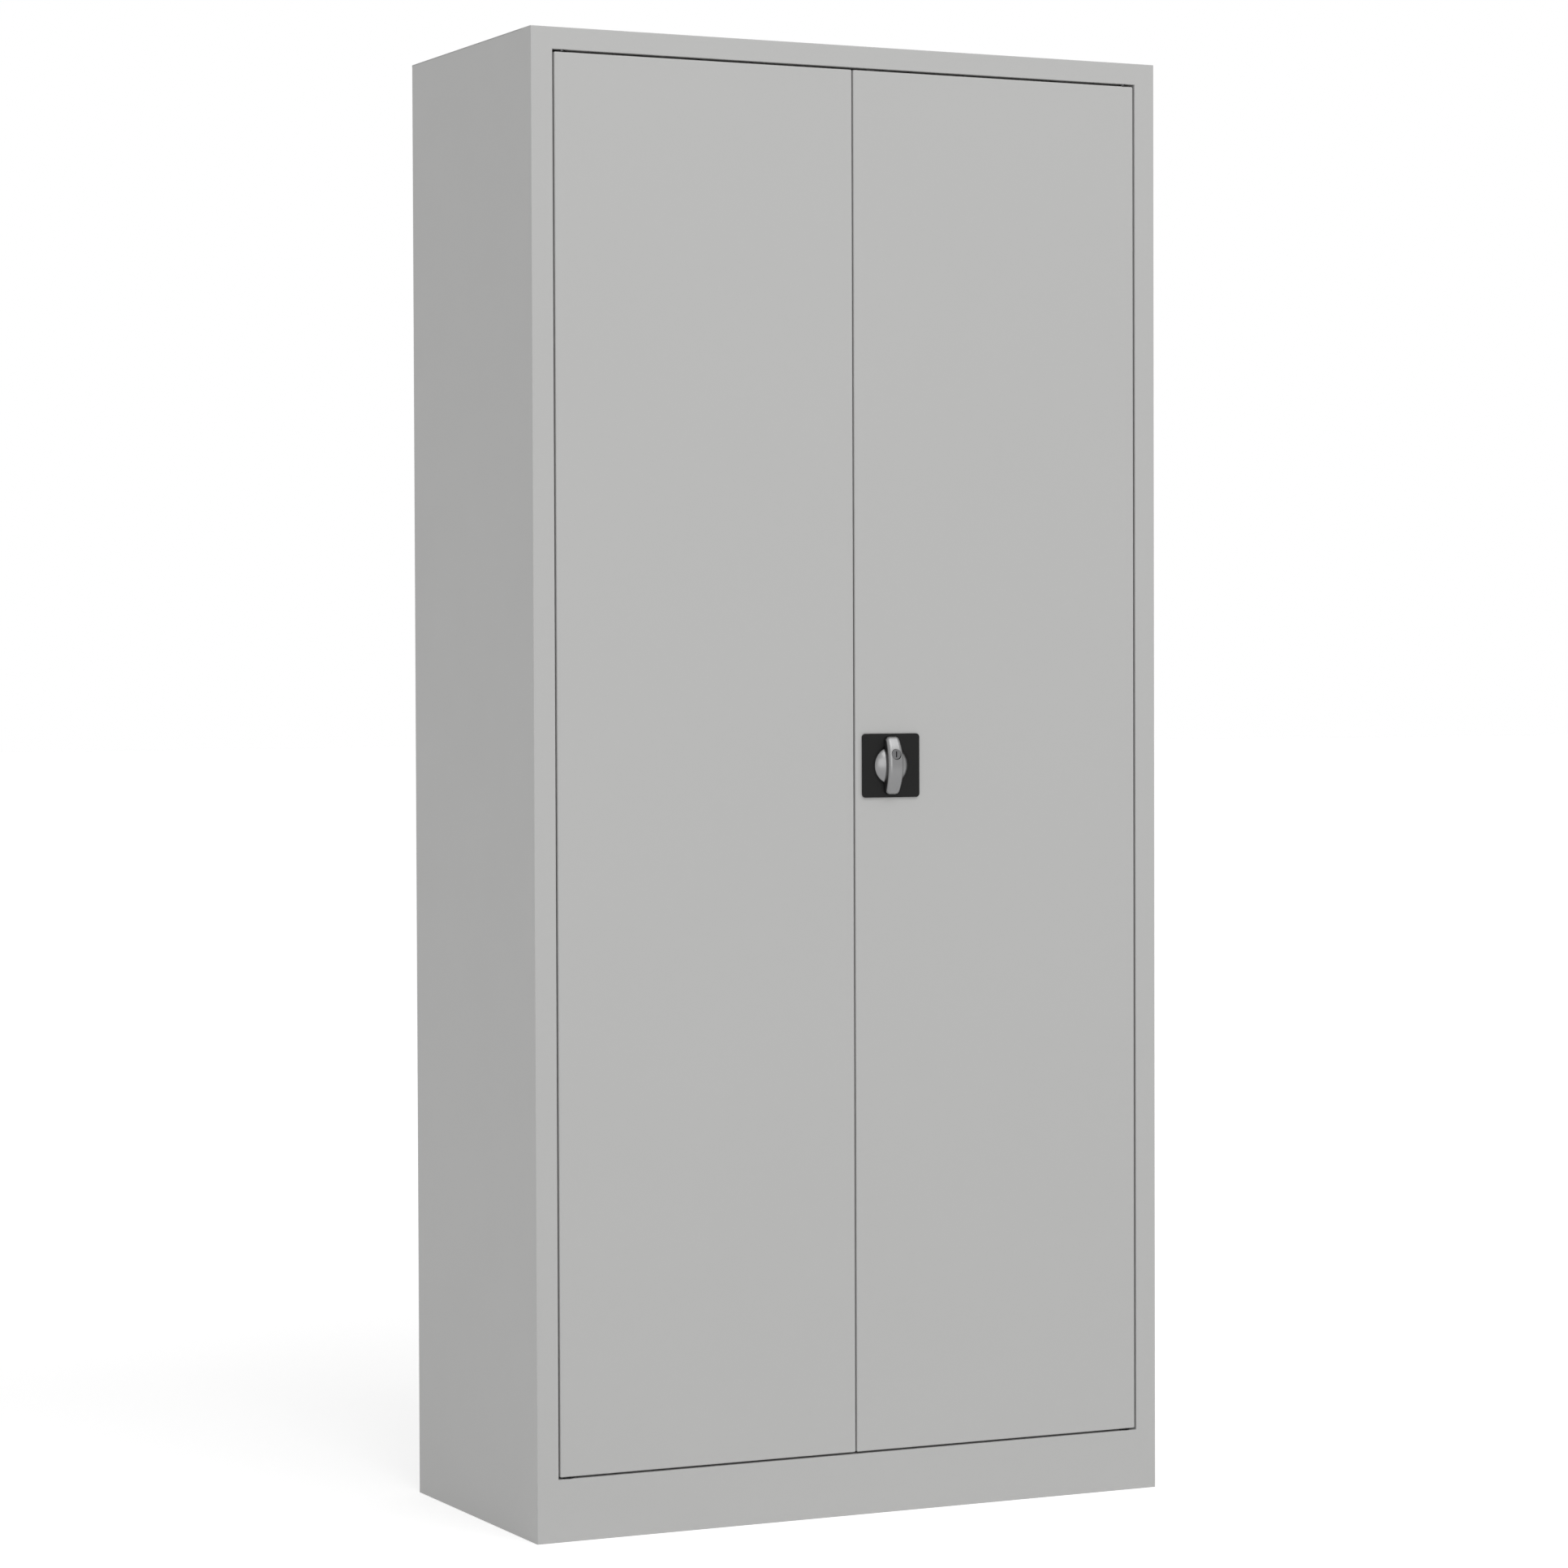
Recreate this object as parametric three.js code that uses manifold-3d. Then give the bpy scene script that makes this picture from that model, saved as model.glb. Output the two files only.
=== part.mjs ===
// Tall steel storage cabinet: a folded sheet carcass, two hinged doors on concealed pivots, four shelves
// on slotted uprights, and a turn handle that drives two locking rods through a pinion.
// Millimetres, Z up. The front faces -Y and the origin is the middle of the footprint, on the floor.
// Inside the cabinet group, y is the depth behind the front face.

import * as THREE from "three";
import { mergeVertices } from "three/addons/utils/BufferGeometryUtils.js";
import Module from "manifold-3d";

const wasm = await Module();
wasm.setup();

// Carcass
const cabinetHeight = 1950;
const cabinetWidth = 920;
const cabinetDepth = 420;
const carcassSheet = 0.8;
const carcassBend = 1.2; // inside radius of a fold
const stileWidth = 30;
const stileReturn = 30;
const stileLip = 12;
const railHeight = 28.5;
const plinthHeight = 81.5;
const plinthFoot = 25;
const frameLip = 20; // behind the plinth and the top rail
const stopDepth = 26.5; // front of the door stops, behind the front face
const stopLip = 14;
const stopOverlap = 12; // how far the floor's front edge stands up behind the doors
const floorTrayHeight = 30;
const rearFlange = 13;
const wallFlange = 12; // inward flange at the top and foot of each side panel
const flangeRelief = 5;

// Clearances
const seam = 0.3; // between sheets that are welded or laid on each other
const sideGap = 2.5;
const centreGap = 2;
const topGap = 3;
const bottomGap = 2.5;
const runningGap = 0.4; // round a turning or sliding piece

// Uprights, clips and shelves
const uprightSheet = 1.2;
const uprightDepth = 10;
const uprightFace = 26;
const uprightFlange = 9;
const frontUprightDepth = 78;
const rearUprightInset = 62;
const slotPitch = 50;
const slotHeight = 4;
const firstSlotHeight = 60; // above the floor panel
const lastSlotMargin = 60; // below the roof
const clipSheet = 2;
const clipWidth = 12;
const clipSideGap = 0.5;
const clipLedge = 16;
const clipHook = 8;
const shelfCount = 4;
const shelfHeight = 28;
const shelfLip = 10;
const shelfSideGap = 1.5;
const shelfEndGap = 3;

// Doors
const doorThickness = 20;
const doorSheet = 1;
const doorBend = 1;
const doorLip = 12;
const stiffenerSheet = 0.8;
const stiffenerCrown = 34;
const stiffenerFoot = 12;
const stiffenerDepth = 16;
const stiffenerFromHinge = 200;

// Hinge pivots
const pivotInset = 13; // from the door's hinge edge
const pivotDepth = 7; // behind the door's front face
const pinRadius = 3;
const pinHeadRadius = 5.5;
const pinHeadHeight = 2;
const pinReach = 10; // how far the pin enters the door
const bushWall = 1.5;
const bushFlangeRadius = 7;
const bushFlangeHeight = 0.8; // of a top bush
const bushLength = 9;

// Door buffers
const bufferRadius = 4.5;
const bufferStemRadius = 2;
const bufferStemLength = 4;
const bufferBarbRadius = 3;
const bufferFromCentre = 120;

// Lock and handle
const handleHeight = 998; // of the handle's axis above the floor
const handleFromDoorEdge = 52;
const plateSize = 85;
const plateThickness = 3;
const plateCorner = 5;
const recessRadius = 27;
const recessDepth = 1;
const spindleRadius = 7.5;
const collarWall = 3.5;
const collarLength = 3; // behind the door's skin
const domeRadius = 24.5;
const domeRim = 0.6;
const domeHeight = 10;
const gripLength = 77;
const gripMiddleWidth = 22.8;
const gripEndWidth = 19.4;
const gripCorner = 6;
const gripHeight = 17.3; // of the middle, above the plate
const gripEndHeight = 5.3;
const gripGap = 1; // under the grip's ends
const squareSize = 8;
const tailRadius = 3.5;
const tailLength = 4;
const plugRadius = 6.8;
const plugLength = 12;
const plugAboveAxis = 15;
const plugFaceHeight = 15.4;
const keySlotWidth = 1.8;
const keySlotHeight = 8;
const keySlotDepth = 3;
const caseWidth = 68;
const caseHeight = 80;
const caseDepth = 17; // of its back, behind the door's front face
const caseSheet = 1.2;
const bossRadius = 4.2;
const bossFromAxis = 32;
const screwRadius = 1.5;
const screwHeadRadius = 3.5;
const screwHeadHeight = 2;
const screwLength = 12;

// Locking rods, racks and pinion
const pinionTeeth = 12;
const pinionModule = 2;
const pinionThickness = 3.4;
const pressureAngle = THREE.MathUtils.degToRad(20);
const rackAddendum = 1.3;
const meshClearance = 0.4;
const backlash = 0.4;
const quarterTurn = Math.PI / 2;
const rodThickness = 4;
const rodBack = 9; // width of a rod behind its teeth
const rodDepth = 12; // of a rod's middle, behind the door's front face
const rodShort = 5.5; // of a drawn-in rod's end, inside the door's edge
const rackTeethAhead = 2;
const rackTeethSpare = 2;
const rackEndMargin = 2;
const keeperClearance = 1.6;
const guideWall = 5;
const guideHeight = 22;
const guideDepth = 17;
const guideShare = 0.5; // of the way from the handle to the door's end

// How finely curves are cut
const bendSteps = 3;
const smallSteps = 16;
const roundSteps = 32;
const curveSteps = 10;
const flankSteps = 3;
const overrun = 1; // how far every cut runs past what it cuts
const samePoint = 1e-6;

// Worked out from the sizes above
const carcassFold = carcassSheet + carcassBend;
const doorFold = doorSheet + doorBend;
const halfWidth = cabinetWidth / 2;
const openingHalfWidth = halfWidth - stileWidth;
const railHalfWidth = openingHalfWidth - seam;
const wallInside = halfWidth - carcassSheet;
const sheetTop = cabinetHeight - carcassSheet;
const railUnderside = cabinetHeight - railHeight;
const floorTop = plinthHeight + bottomGap + stopOverlap;
const floorUnderside = floorTop - floorTrayHeight;
const backPanelRear = cabinetDepth - carcassSheet - seam;
const backPanelFront = backPanelRear - carcassSheet;

const uprightInside = wallInside - seam - uprightDepth; // where an upright's slotted face lies
const uprightFoot = floorTop + seam;
const uprightTop = sheetTop - carcassSheet - seam - seam;
const firstSlot = floorTop + firstSlotHeight;
const slotCount = Math.floor((uprightTop - lastSlotMargin - firstSlot) / slotPitch) + 1;
const slotWidth = clipWidth + 2 * clipSideGap;
const shelfHalfWidth = uprightInside - shelfSideGap;
const shelfFront = stileReturn + shelfEndGap;
const shelfRear = backPanelFront - shelfEndGap;

const doorWidth = openingHalfWidth - sideGap - centreGap / 2;
const doorBottom = plinthHeight + bottomGap;
const doorTop = railUnderside - topGap;
const doorHeight = doorTop - doorBottom;
const doorMiddle = centreGap / 2 + doorWidth / 2;
const pivotFromDoorMiddle = doorWidth / 2 - pivotInset;
const pivotX = doorMiddle + pivotFromDoorMiddle;
const bushBore = pinRadius + runningGap;
const bushRadius = bushBore + bushWall;
const thrustFlangeHeight = bottomGap - 2 * seam; // of a bottom bush, which the door runs on

const handleX = centreGap / 2 + handleFromDoorEdge;
const handleInDoorX = handleX - doorMiddle;
const handleInDoorZ = handleHeight - doorBottom;
const plateBack = -seam;
const plateFront = plateBack - plateThickness;
const handleProjection = gripHeight - plateFront;
const caseBackInside = caseDepth - caseSheet;
const collarRadius = spindleRadius + runningGap + collarWall;
const bossBore = screwRadius + seam;

const pitchRadius = pinionTeeth * pinionModule / 2;
const rackPitch = Math.PI * pinionModule;
const rackDedendum = pinionModule + meshClearance;
const rodStroke = pitchRadius * quarterTurn;
const rackTeethBehind = Math.round(rodStroke / rackPitch) + rackTeethSpare;
const rodRoot = pitchRadius + rackDedendum;
const rodOuter = rodRoot + rodBack;
const rodInner = pitchRadius - rackAddendum;
const rodMiddle = (rodRoot + rodOuter) / 2;
const rodEnd = (rackTeethBehind + 1 / 2) * rackPitch + rackEndMargin;

// Solids and meshes

function solidFrom(geometry) {
  const bare = geometry.clone();
  bare.deleteAttribute("normal");
  bare.deleteAttribute("uv");
  const merged = mergeVertices(bare);
  const corners = merged.index.array;
  const triangles = [];
  for (let first = 0; first < corners.length; first += 3) {
    const [a, b, c] = corners.slice(first, first + 3);
    if (a !== b && b !== c && c !== a) {
      triangles.push(a, b, c);
    }
  }
  return new wasm.Manifold(new wasm.Mesh({
    numProp: 3,
    vertProperties: merged.attributes.position.array,
    triVerts: Uint32Array.from(triangles),
  }));
}

function meshFrom(name, solid, material) {
  const { vertProperties, triVerts } = solid.getMesh();
  const geometry = new THREE.BufferGeometry();
  geometry.setAttribute("position", new THREE.BufferAttribute(vertProperties, 3));
  geometry.setIndex(new THREE.BufferAttribute(triVerts, 1));
  geometry.computeVertexNormals();
  const mesh = new THREE.Mesh(geometry, material);
  mesh.name = name;
  return mesh;
}

function joined(solids) {
  return solids.reduce((whole, next) => whole.add(next));
}

function without(solid, cuts) {
  return cuts.reduce((rest, cut) => rest.subtract(cut), solid);
}

function box(x, y, z) {
  const geometry = new THREE.BoxGeometry(x[1] - x[0], y[1] - y[0], z[1] - z[0]);
  geometry.translate((x[0] + x[1]) / 2, (y[0] + y[1]) / 2, (z[0] + z[1]) / 2);
  return solidFrom(geometry);
}

function extruded(shape, depth) {
  return new THREE.ExtrudeGeometry(shape, { depth, bevelEnabled: false, curveSegments: curveSteps });
}

// A section drawn in (x, y), run along Z.
function prismAlongZ(shape, low, high) {
  const geometry = extruded(shape, high - low);
  geometry.translate(0, 0, low);
  return solidFrom(geometry);
}

// A section drawn in (y, z), run along X.
function prismAlongX(shape, low, high) {
  const geometry = extruded(shape, high - low);
  geometry.applyMatrix4(new THREE.Matrix4().makeBasis(
    new THREE.Vector3(0, 1, 0), new THREE.Vector3(0, 0, 1), new THREE.Vector3(1, 0, 0)));
  geometry.translate(low, 0, 0);
  return solidFrom(geometry);
}

// A section drawn in (x, z), run along Y.
function prismAlongY(shape, low, high) {
  const geometry = extruded(shape, high - low);
  geometry.applyMatrix4(new THREE.Matrix4().makeBasis(
    new THREE.Vector3(1, 0, 0), new THREE.Vector3(0, 0, 1), new THREE.Vector3(0, -1, 0)));
  geometry.translate(0, high, 0);
  return solidFrom(geometry);
}

function barAlongZ(radius, x, y, low, high, steps = smallSteps) {
  const geometry = new THREE.CylinderGeometry(radius, radius, high - low, steps);
  geometry.rotateX(Math.PI / 2);
  geometry.translate(x, y, (low + high) / 2);
  return solidFrom(geometry);
}

function barAlongY(radius, x, z, low, high, steps = smallSteps) {
  const geometry = new THREE.CylinderGeometry(radius, radius, high - low, steps);
  geometry.translate(x, (low + high) / 2, z);
  return solidFrom(geometry);
}

// A turned piece about the Y axis. The profile's (radius, y) points run towards +Y.
function turnedAboutY(profile, steps = smallSteps) {
  return solidFrom(new THREE.LatheGeometry(profile.map(([radius, y]) => new THREE.Vector2(radius, y)), steps));
}

// A turned piece about the Z axis. The profile's (radius, z) points run upwards.
function turnedAboutZ(profile, steps = smallSteps) {
  const geometry = new THREE.LatheGeometry(profile.map(([radius, z]) => new THREE.Vector2(radius, z)), steps);
  geometry.rotateX(Math.PI / 2);
  return solidFrom(geometry);
}

function outline(points) {
  return new THREE.Shape(points.map(([a, b]) => new THREE.Vector2(a, b)));
}

// The section of a folded sheet: its centre line's corners, rounded and given thickness.
function foldedSheet(corners, thickness, insideRadius) {
  const line = corners.map(([a, b]) => new THREE.Vector2(a, b));
  const half = thickness / 2;
  const centreRadius = insideRadius + half;
  const leftSide = [];
  const rightSide = [];
  const addPair = (point, normal) => {
    leftSide.push(point.clone().addScaledVector(normal, half));
    rightSide.push(point.clone().addScaledVector(normal, -half));
  };
  const direction = (from, to) => to.clone().sub(from).normalize();
  const leftOf = (along) => new THREE.Vector2(-along.y, along.x);
  line.forEach((corner, index) => {
    if (index === 0) {
      addPair(corner, leftOf(direction(corner, line[1])));
      return;
    }
    const before = direction(line[index - 1], corner);
    if (index === line.length - 1) {
      addPair(corner, leftOf(before));
      return;
    }
    const after = direction(corner, line[index + 1]);
    const turn = Math.sign(before.cross(after));
    const bend = Math.acos(THREE.MathUtils.clamp(before.dot(after), -1, 1));
    const start = corner.clone().addScaledVector(before, -centreRadius * Math.tan(bend / 2));
    const centre = start.addScaledVector(leftOf(before), turn * centreRadius);
    for (let step = 0; step <= bendSteps; step += 1) {
      const normal = leftOf(before).rotateAround(new THREE.Vector2(), turn * bend * step / bendSteps);
      addPair(centre.clone().addScaledVector(normal, -turn * centreRadius), normal);
    }
  });
  const points = [...leftSide, ...rightSide.reverse()];
  return new THREE.Shape(points.filter((point, index) => (
    point.distanceTo(points[(index + 1) % points.length]) > samePoint)));
}

// A rectangle whose two corners at the low second coordinate are rounded.
function frontRounded(low, high, front, rear, radius) {
  const shape = new THREE.Shape();
  shape.moveTo(low, rear);
  shape.lineTo(low, front + radius);
  for (let step = 1; step <= bendSteps; step += 1) {
    const angle = quarterTurn * step / bendSteps;
    shape.lineTo(low + radius - radius * Math.cos(angle), front + radius - radius * Math.sin(angle));
  }
  for (let step = 0; step <= bendSteps; step += 1) {
    const angle = quarterTurn * step / bendSteps;
    shape.lineTo(high - radius + radius * Math.sin(angle), front + radius - radius * Math.cos(angle));
  }
  shape.lineTo(high, rear);
  return shape;
}

// A rectangle about the origin with all four corners rounded.
function roundedRectangle(width, height, radius) {
  const x = width / 2 - radius;
  const y = height / 2 - radius;
  const shape = new THREE.Shape();
  shape.absarc(x, y, radius, 0, quarterTurn);
  shape.absarc(-x, y, radius, quarterTurn, Math.PI);
  shape.absarc(-x, -y, radius, Math.PI, Math.PI + quarterTurn);
  shape.absarc(x, -y, radius, -quarterTurn, 0);
  return shape;
}

// Carcass. Side is -1 on the left and 1 on the right.

function underRoofFold() {
  return box([-halfWidth - overrun, halfWidth + overrun], [-overrun, carcassFold + seam],
    [cabinetHeight - carcassFold - seam, cabinetHeight]);
}

function sidePanel(side) {
  const half = carcassSheet / 2;
  const wall = side * (halfWidth - half);
  const rear = cabinetDepth - half;
  const section = foldedSheet([
    [side * (halfWidth - rearFlange), rear],
    [wall, rear],
    [wall, stileReturn + seam],
  ], carcassSheet, carcassBend);
  const top = sheetTop - seam;
  const flangeX = [side * halfWidth - side * carcassSheet / 2, side * (halfWidth - wallFlange)];
  flangeX.sort((a, b) => a - b);
  const flangeY = [stileReturn + flangeRelief, cabinetDepth - rearFlange - flangeRelief];
  return without(joined([
    prismAlongZ(section, 0, top),
    box(flangeX, flangeY, [0, carcassSheet]),
    box(flangeX, flangeY, [top - carcassSheet, top]),
  ]), [
    box([-halfWidth - overrun, halfWidth + overrun], [cabinetDepth - carcassFold - seam, cabinetDepth + overrun],
      [cabinetHeight - carcassFold - seam, cabinetHeight]),
  ]);
}

// The upright channel at a front corner. Its outer leg meets the side panel edge to edge.
function stile(side) {
  const half = carcassSheet / 2;
  const wall = side * (halfWidth - half);
  const stileEdge = side * (openingHalfWidth + half);
  const lipDepth = stileReturn - half;
  const section = foldedSheet([
    [wall, stileReturn],
    [wall, half],
    [stileEdge, half],
    [stileEdge, lipDepth],
    [side * (openingHalfWidth + stileLip), lipDepth],
  ], carcassSheet, carcassBend);
  return prismAlongZ(section, 0, sheetTop - seam).subtract(underRoofFold());
}

function keeperSlot(x, z) {
  const halfLength = rodBack / 2 + keeperClearance;
  const halfDepth = rodThickness / 2 + keeperClearance;
  return box([x - halfLength, x + halfLength], [rodDepth - halfDepth, rodDepth + halfDepth], z);
}

// The roof meets the top rail edge to edge.
function roofPanel() {
  const middle = cabinetHeight - carcassSheet / 2;
  const rear = cabinetDepth - carcassSheet / 2;
  const section = foldedSheet([
    [stileReturn + seam, middle],
    [rear, middle],
    [rear, cabinetHeight - carcassFold],
  ], carcassSheet, carcassBend);
  return prismAlongX(section, -halfWidth, halfWidth);
}

// The channel above the doors. Its top strip runs on over both stiles.
function topRail() {
  const half = carcassSheet / 2;
  const middle = cabinetHeight - half;
  const lipDepth = stopDepth - seam - half;
  const strip = foldedSheet([
    [stileReturn, middle],
    [half, middle],
    [half, cabinetHeight - carcassFold],
  ], carcassSheet, carcassBend);
  const channel = foldedSheet([
    [stileReturn, middle],
    [half, middle],
    [half, railUnderside + half],
    [lipDepth, railUnderside + half],
    [lipDepth, railUnderside + frameLip],
  ], carcassSheet, carcassBend);
  const throughRail = [railUnderside - overrun, railUnderside + carcassSheet + overrun];
  return without(joined([
    prismAlongX(strip, -halfWidth, halfWidth),
    prismAlongX(channel, -railHalfWidth, railHalfWidth),
  ]), [
    barAlongZ(pinRadius + seam, -pivotX, pivotDepth, ...throughRail),
    barAlongZ(pinRadius + seam, pivotX, pivotDepth, ...throughRail),
    keeperSlot(handleX - rodMiddle, throughRail),
  ]);
}

// The strip behind the top rail that the doors stop against.
function topStop() {
  const strip = box([-railHalfWidth, railHalfWidth], [stopDepth, stopDepth + carcassSheet],
    [railUnderside - stopLip, railUnderside + frameLip]);
  return without(strip, [
    bufferHole(-bufferFromCentre, doorTop - doorLip / 2, stopDepth),
    bufferHole(bufferFromCentre, doorTop - doorLip / 2, stopDepth),
  ]);
}

function plinthFront() {
  const half = carcassSheet / 2;
  const lipDepth = stopDepth - seam - half;
  const section = foldedSheet([
    [plinthFoot, half],
    [half, half],
    [half, plinthHeight - half],
    [lipDepth, plinthHeight - half],
    [lipDepth, plinthHeight - frameLip],
  ], carcassSheet, carcassBend);
  const throughTop = [plinthHeight - carcassSheet - overrun, plinthHeight + overrun];
  return without(prismAlongX(section, -railHalfWidth, railHalfWidth), [
    barAlongZ(pinRadius + seam, -pivotX, pivotDepth, ...throughTop),
    barAlongZ(pinRadius + seam, pivotX, pivotDepth, ...throughTop),
    keeperSlot(handleX + rodMiddle, throughTop),
  ]);
}

// The floor tray's plan, notched round the stiles, drawn in by the given inset.
function floorPlan(inset) {
  const narrow = railHalfWidth - inset;
  const wide = wallInside - seam - inset;
  const front = stopDepth + inset;
  const shoulder = stileReturn + seam + inset;
  const rear = backPanelFront - seam - inset;
  return outline([
    [-narrow, front], [narrow, front], [narrow, shoulder], [wide, shoulder],
    [wide, rear], [-wide, rear], [-wide, shoulder], [-narrow, shoulder],
  ]);
}

function floorPanel() {
  const hollowTop = floorTop - carcassSheet;
  const bufferZ = doorBottom + doorLip / 2;
  return without(prismAlongZ(floorPlan(0), floorUnderside, floorTop), [
    prismAlongZ(floorPlan(carcassSheet), floorUnderside - overrun, hollowTop),
    bufferHole(-bufferFromCentre, bufferZ, stopDepth),
    bufferHole(bufferFromCentre, bufferZ, stopDepth),
  ]);
}

function backPanel() {
  const panelHalfWidth = halfWidth - carcassFold - seam;
  const top = cabinetHeight - carcassFold - seam;
  return box([-panelHalfWidth, panelHalfWidth], [backPanelFront, backPanelRear], [0, top]);
}

// Uprights, shelves and their clips

// An upright about its own middle depth, with its foot at z = 0.
function upright(side) {
  const half = uprightSheet / 2;
  const flangeX = side * (wallInside - seam - half);
  const faceX = side * (uprightInside + half);
  const faceY = uprightFace / 2 - half;
  const section = foldedSheet([
    [flangeX, -faceY - uprightFlange],
    [flangeX, -faceY],
    [faceX, -faceY],
    [faceX, faceY],
    [flangeX, faceY],
    [flangeX, faceY + uprightFlange],
  ], uprightSheet, carcassBend);
  const slotX = [faceX - uprightSheet, faceX + uprightSheet];
  const slots = [];
  for (let slot = 0; slot < slotCount; slot += 1) {
    const z = firstSlot - uprightFoot + slot * slotPitch;
    slots.push(box(slotX, [-slotWidth / 2, slotWidth / 2], [z, z + slotHeight]));
  }
  return without(prismAlongZ(section, 0, uprightTop - uprightFoot), slots);
}

// A clip about its own middle depth, with the bottom of its slot at z = 0 and the slotted face at x = 0.
function shelfClip(side) {
  const into = (distance) => -side * distance;
  const low = seam;
  const high = low + clipSheet;
  const hookFront = -uprightSheet - seam;
  const hookBack = hookFront - clipSheet;
  return prismAlongY(outline([
    [into(clipLedge), low],
    [into(clipLedge), high],
    [into(hookFront), high],
    [into(hookFront), low + clipHook],
    [into(hookBack), low + clipHook],
    [into(hookBack), low],
  ]), -clipWidth / 2, clipWidth / 2);
}

// A shelf with its bottom edge at z = 0.
function shelf() {
  const x = [-shelfHalfWidth, shelfHalfWidth];
  const y = [shelfFront, shelfRear];
  const insideX = [x[0] + carcassSheet, x[1] - carcassSheet];
  return without(box(x, y, [0, shelfHeight]), [
    box(insideX, [y[0] + carcassSheet, y[1] - carcassSheet], [carcassSheet, shelfHeight - carcassSheet]),
    box(insideX, [y[0] + shelfLip, y[1] - shelfLip], [-overrun, shelfHeight / 2]),
  ]);
}

// Hinge pivots

// A top pin hangs from the rail, with z = 0 at the door's top edge. A bottom pin is the same, turned over.
function hingePin(gap) {
  const flangeFar = gap + carcassSheet;
  return turnedAboutZ([
    [0, -pinReach],
    [pinRadius, -pinReach],
    [pinRadius, flangeFar + seam],
    [pinHeadRadius, flangeFar + seam],
    [pinHeadRadius, flangeFar + seam + pinHeadHeight],
    [0, flangeFar + seam + pinHeadHeight],
  ]);
}

// A door bush, with z = 0 at the door's edge. Its flange lies outside the door.
function hingeBush(flangeHeight) {
  const flangeTop = seam + flangeHeight;
  const whole = turnedAboutZ([
    [0, -bushLength],
    [bushRadius, -bushLength],
    [bushRadius, seam],
    [bushFlangeRadius, seam],
    [bushFlangeRadius, flangeTop],
    [0, flangeTop],
  ]);
  return whole.subtract(barAlongZ(bushBore, 0, 0, -bushLength - overrun, flangeTop + overrun));
}

// Door buffers

function bufferHole(x, z, stopFront) {
  return barAlongY(bufferStemRadius + seam, x, z, stopFront - overrun, stopFront + carcassSheet + overrun);
}

// A push-in buffer, with y = 0 at the front of its stop.
function doorBuffer() {
  const headFront = doorThickness + seam - stopDepth;
  const barbFront = carcassSheet + seam;
  return turnedAboutY([
    [0, headFront],
    [bufferRadius, headFront],
    [bufferRadius, -seam],
    [bufferStemRadius, -seam],
    [bufferStemRadius, barbFront],
    [bufferBarbRadius, barbFront],
    [bufferStemRadius, bufferStemLength],
    [0, bufferStemLength],
  ]);
}

// Doors. Inside a door's group, x is measured from the door's middle and z from its bottom edge.

function doorBlock(inset, radius, rear) {
  const x = doorWidth / 2 - inset;
  const front = inset;
  const inPlan = prismAlongZ(frontRounded(-x, x, front, rear, radius), inset, doorHeight - inset);
  const fromSide = new THREE.Shape(frontRounded(inset, doorHeight - inset, front, rear, radius)
    .getPoints().map((point) => new THREE.Vector2(point.y, point.x)));
  return inPlan.intersect(prismAlongX(fromSide, -x, x));
}

// A hat-section stiffener about its own middle, with its feet welded into the door's skin.
function doorStiffener() {
  const half = stiffenerSheet / 2;
  const crownX = stiffenerCrown / 2 - half;
  const footY = doorSheet;
  const crownY = doorSheet + stiffenerDepth - half;
  const section = foldedSheet([
    [-crownX - stiffenerFoot, footY],
    [-crownX, footY],
    [-crownX, crownY],
    [crownX, crownY],
    [crownX, footY],
    [crownX + stiffenerFoot, footY],
  ], stiffenerSheet, carcassBend);
  return prismAlongZ(section, doorFold + seam, doorHeight - doorFold - seam);
}

function doorPanel(hingeSide) {
  const pivot = hingeSide * pivotFromDoorMiddle;
  const lipX = doorWidth / 2 - doorLip;
  const bushHole = (z) => barAlongZ(bushRadius + seam, pivot, pivotDepth, z - doorThickness, z + doorThickness);
  const panel = without(doorBlock(0, doorFold, doorThickness), [
    doorBlock(doorSheet, doorBend, doorThickness - doorSheet),
    box([-lipX, lipX], [doorThickness / 2, doorThickness + overrun], [doorLip, doorHeight - doorLip]),
    bushHole(0),
    bushHole(doorHeight),
  ]);
  return panel.add(doorStiffener().translate([hingeSide * (doorWidth / 2 - stiffenerFromHinge), 0, 0]));
}

function lockDoorPanel(hingeSide) {
  const rodSlot = (x, z) => box(
    [x - rodBack / 2 - runningGap, x + rodBack / 2 + runningGap],
    [rodDepth - rodThickness / 2 - runningGap, rodDepth + rodThickness / 2 + runningGap],
    [z - doorThickness / 2, z + doorThickness / 2]);
  const throughSkin = [-overrun, doorSheet + overrun];
  return without(doorPanel(hingeSide), [
    barAlongY(collarRadius + runningGap, handleInDoorX, handleInDoorZ, ...throughSkin, roundSteps),
    barAlongY(bossRadius + runningGap, handleInDoorX, handleInDoorZ + bossFromAxis, ...throughSkin),
    barAlongY(bossRadius + runningGap, handleInDoorX, handleInDoorZ - bossFromAxis, ...throughSkin),
    rodSlot(handleInDoorX - rodMiddle, doorHeight),
    rodSlot(handleInDoorX + rodMiddle, 0),
  ]);
}

// Lock. Inside the lock's group the origin is the handle's axis at the door's front face.

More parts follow.
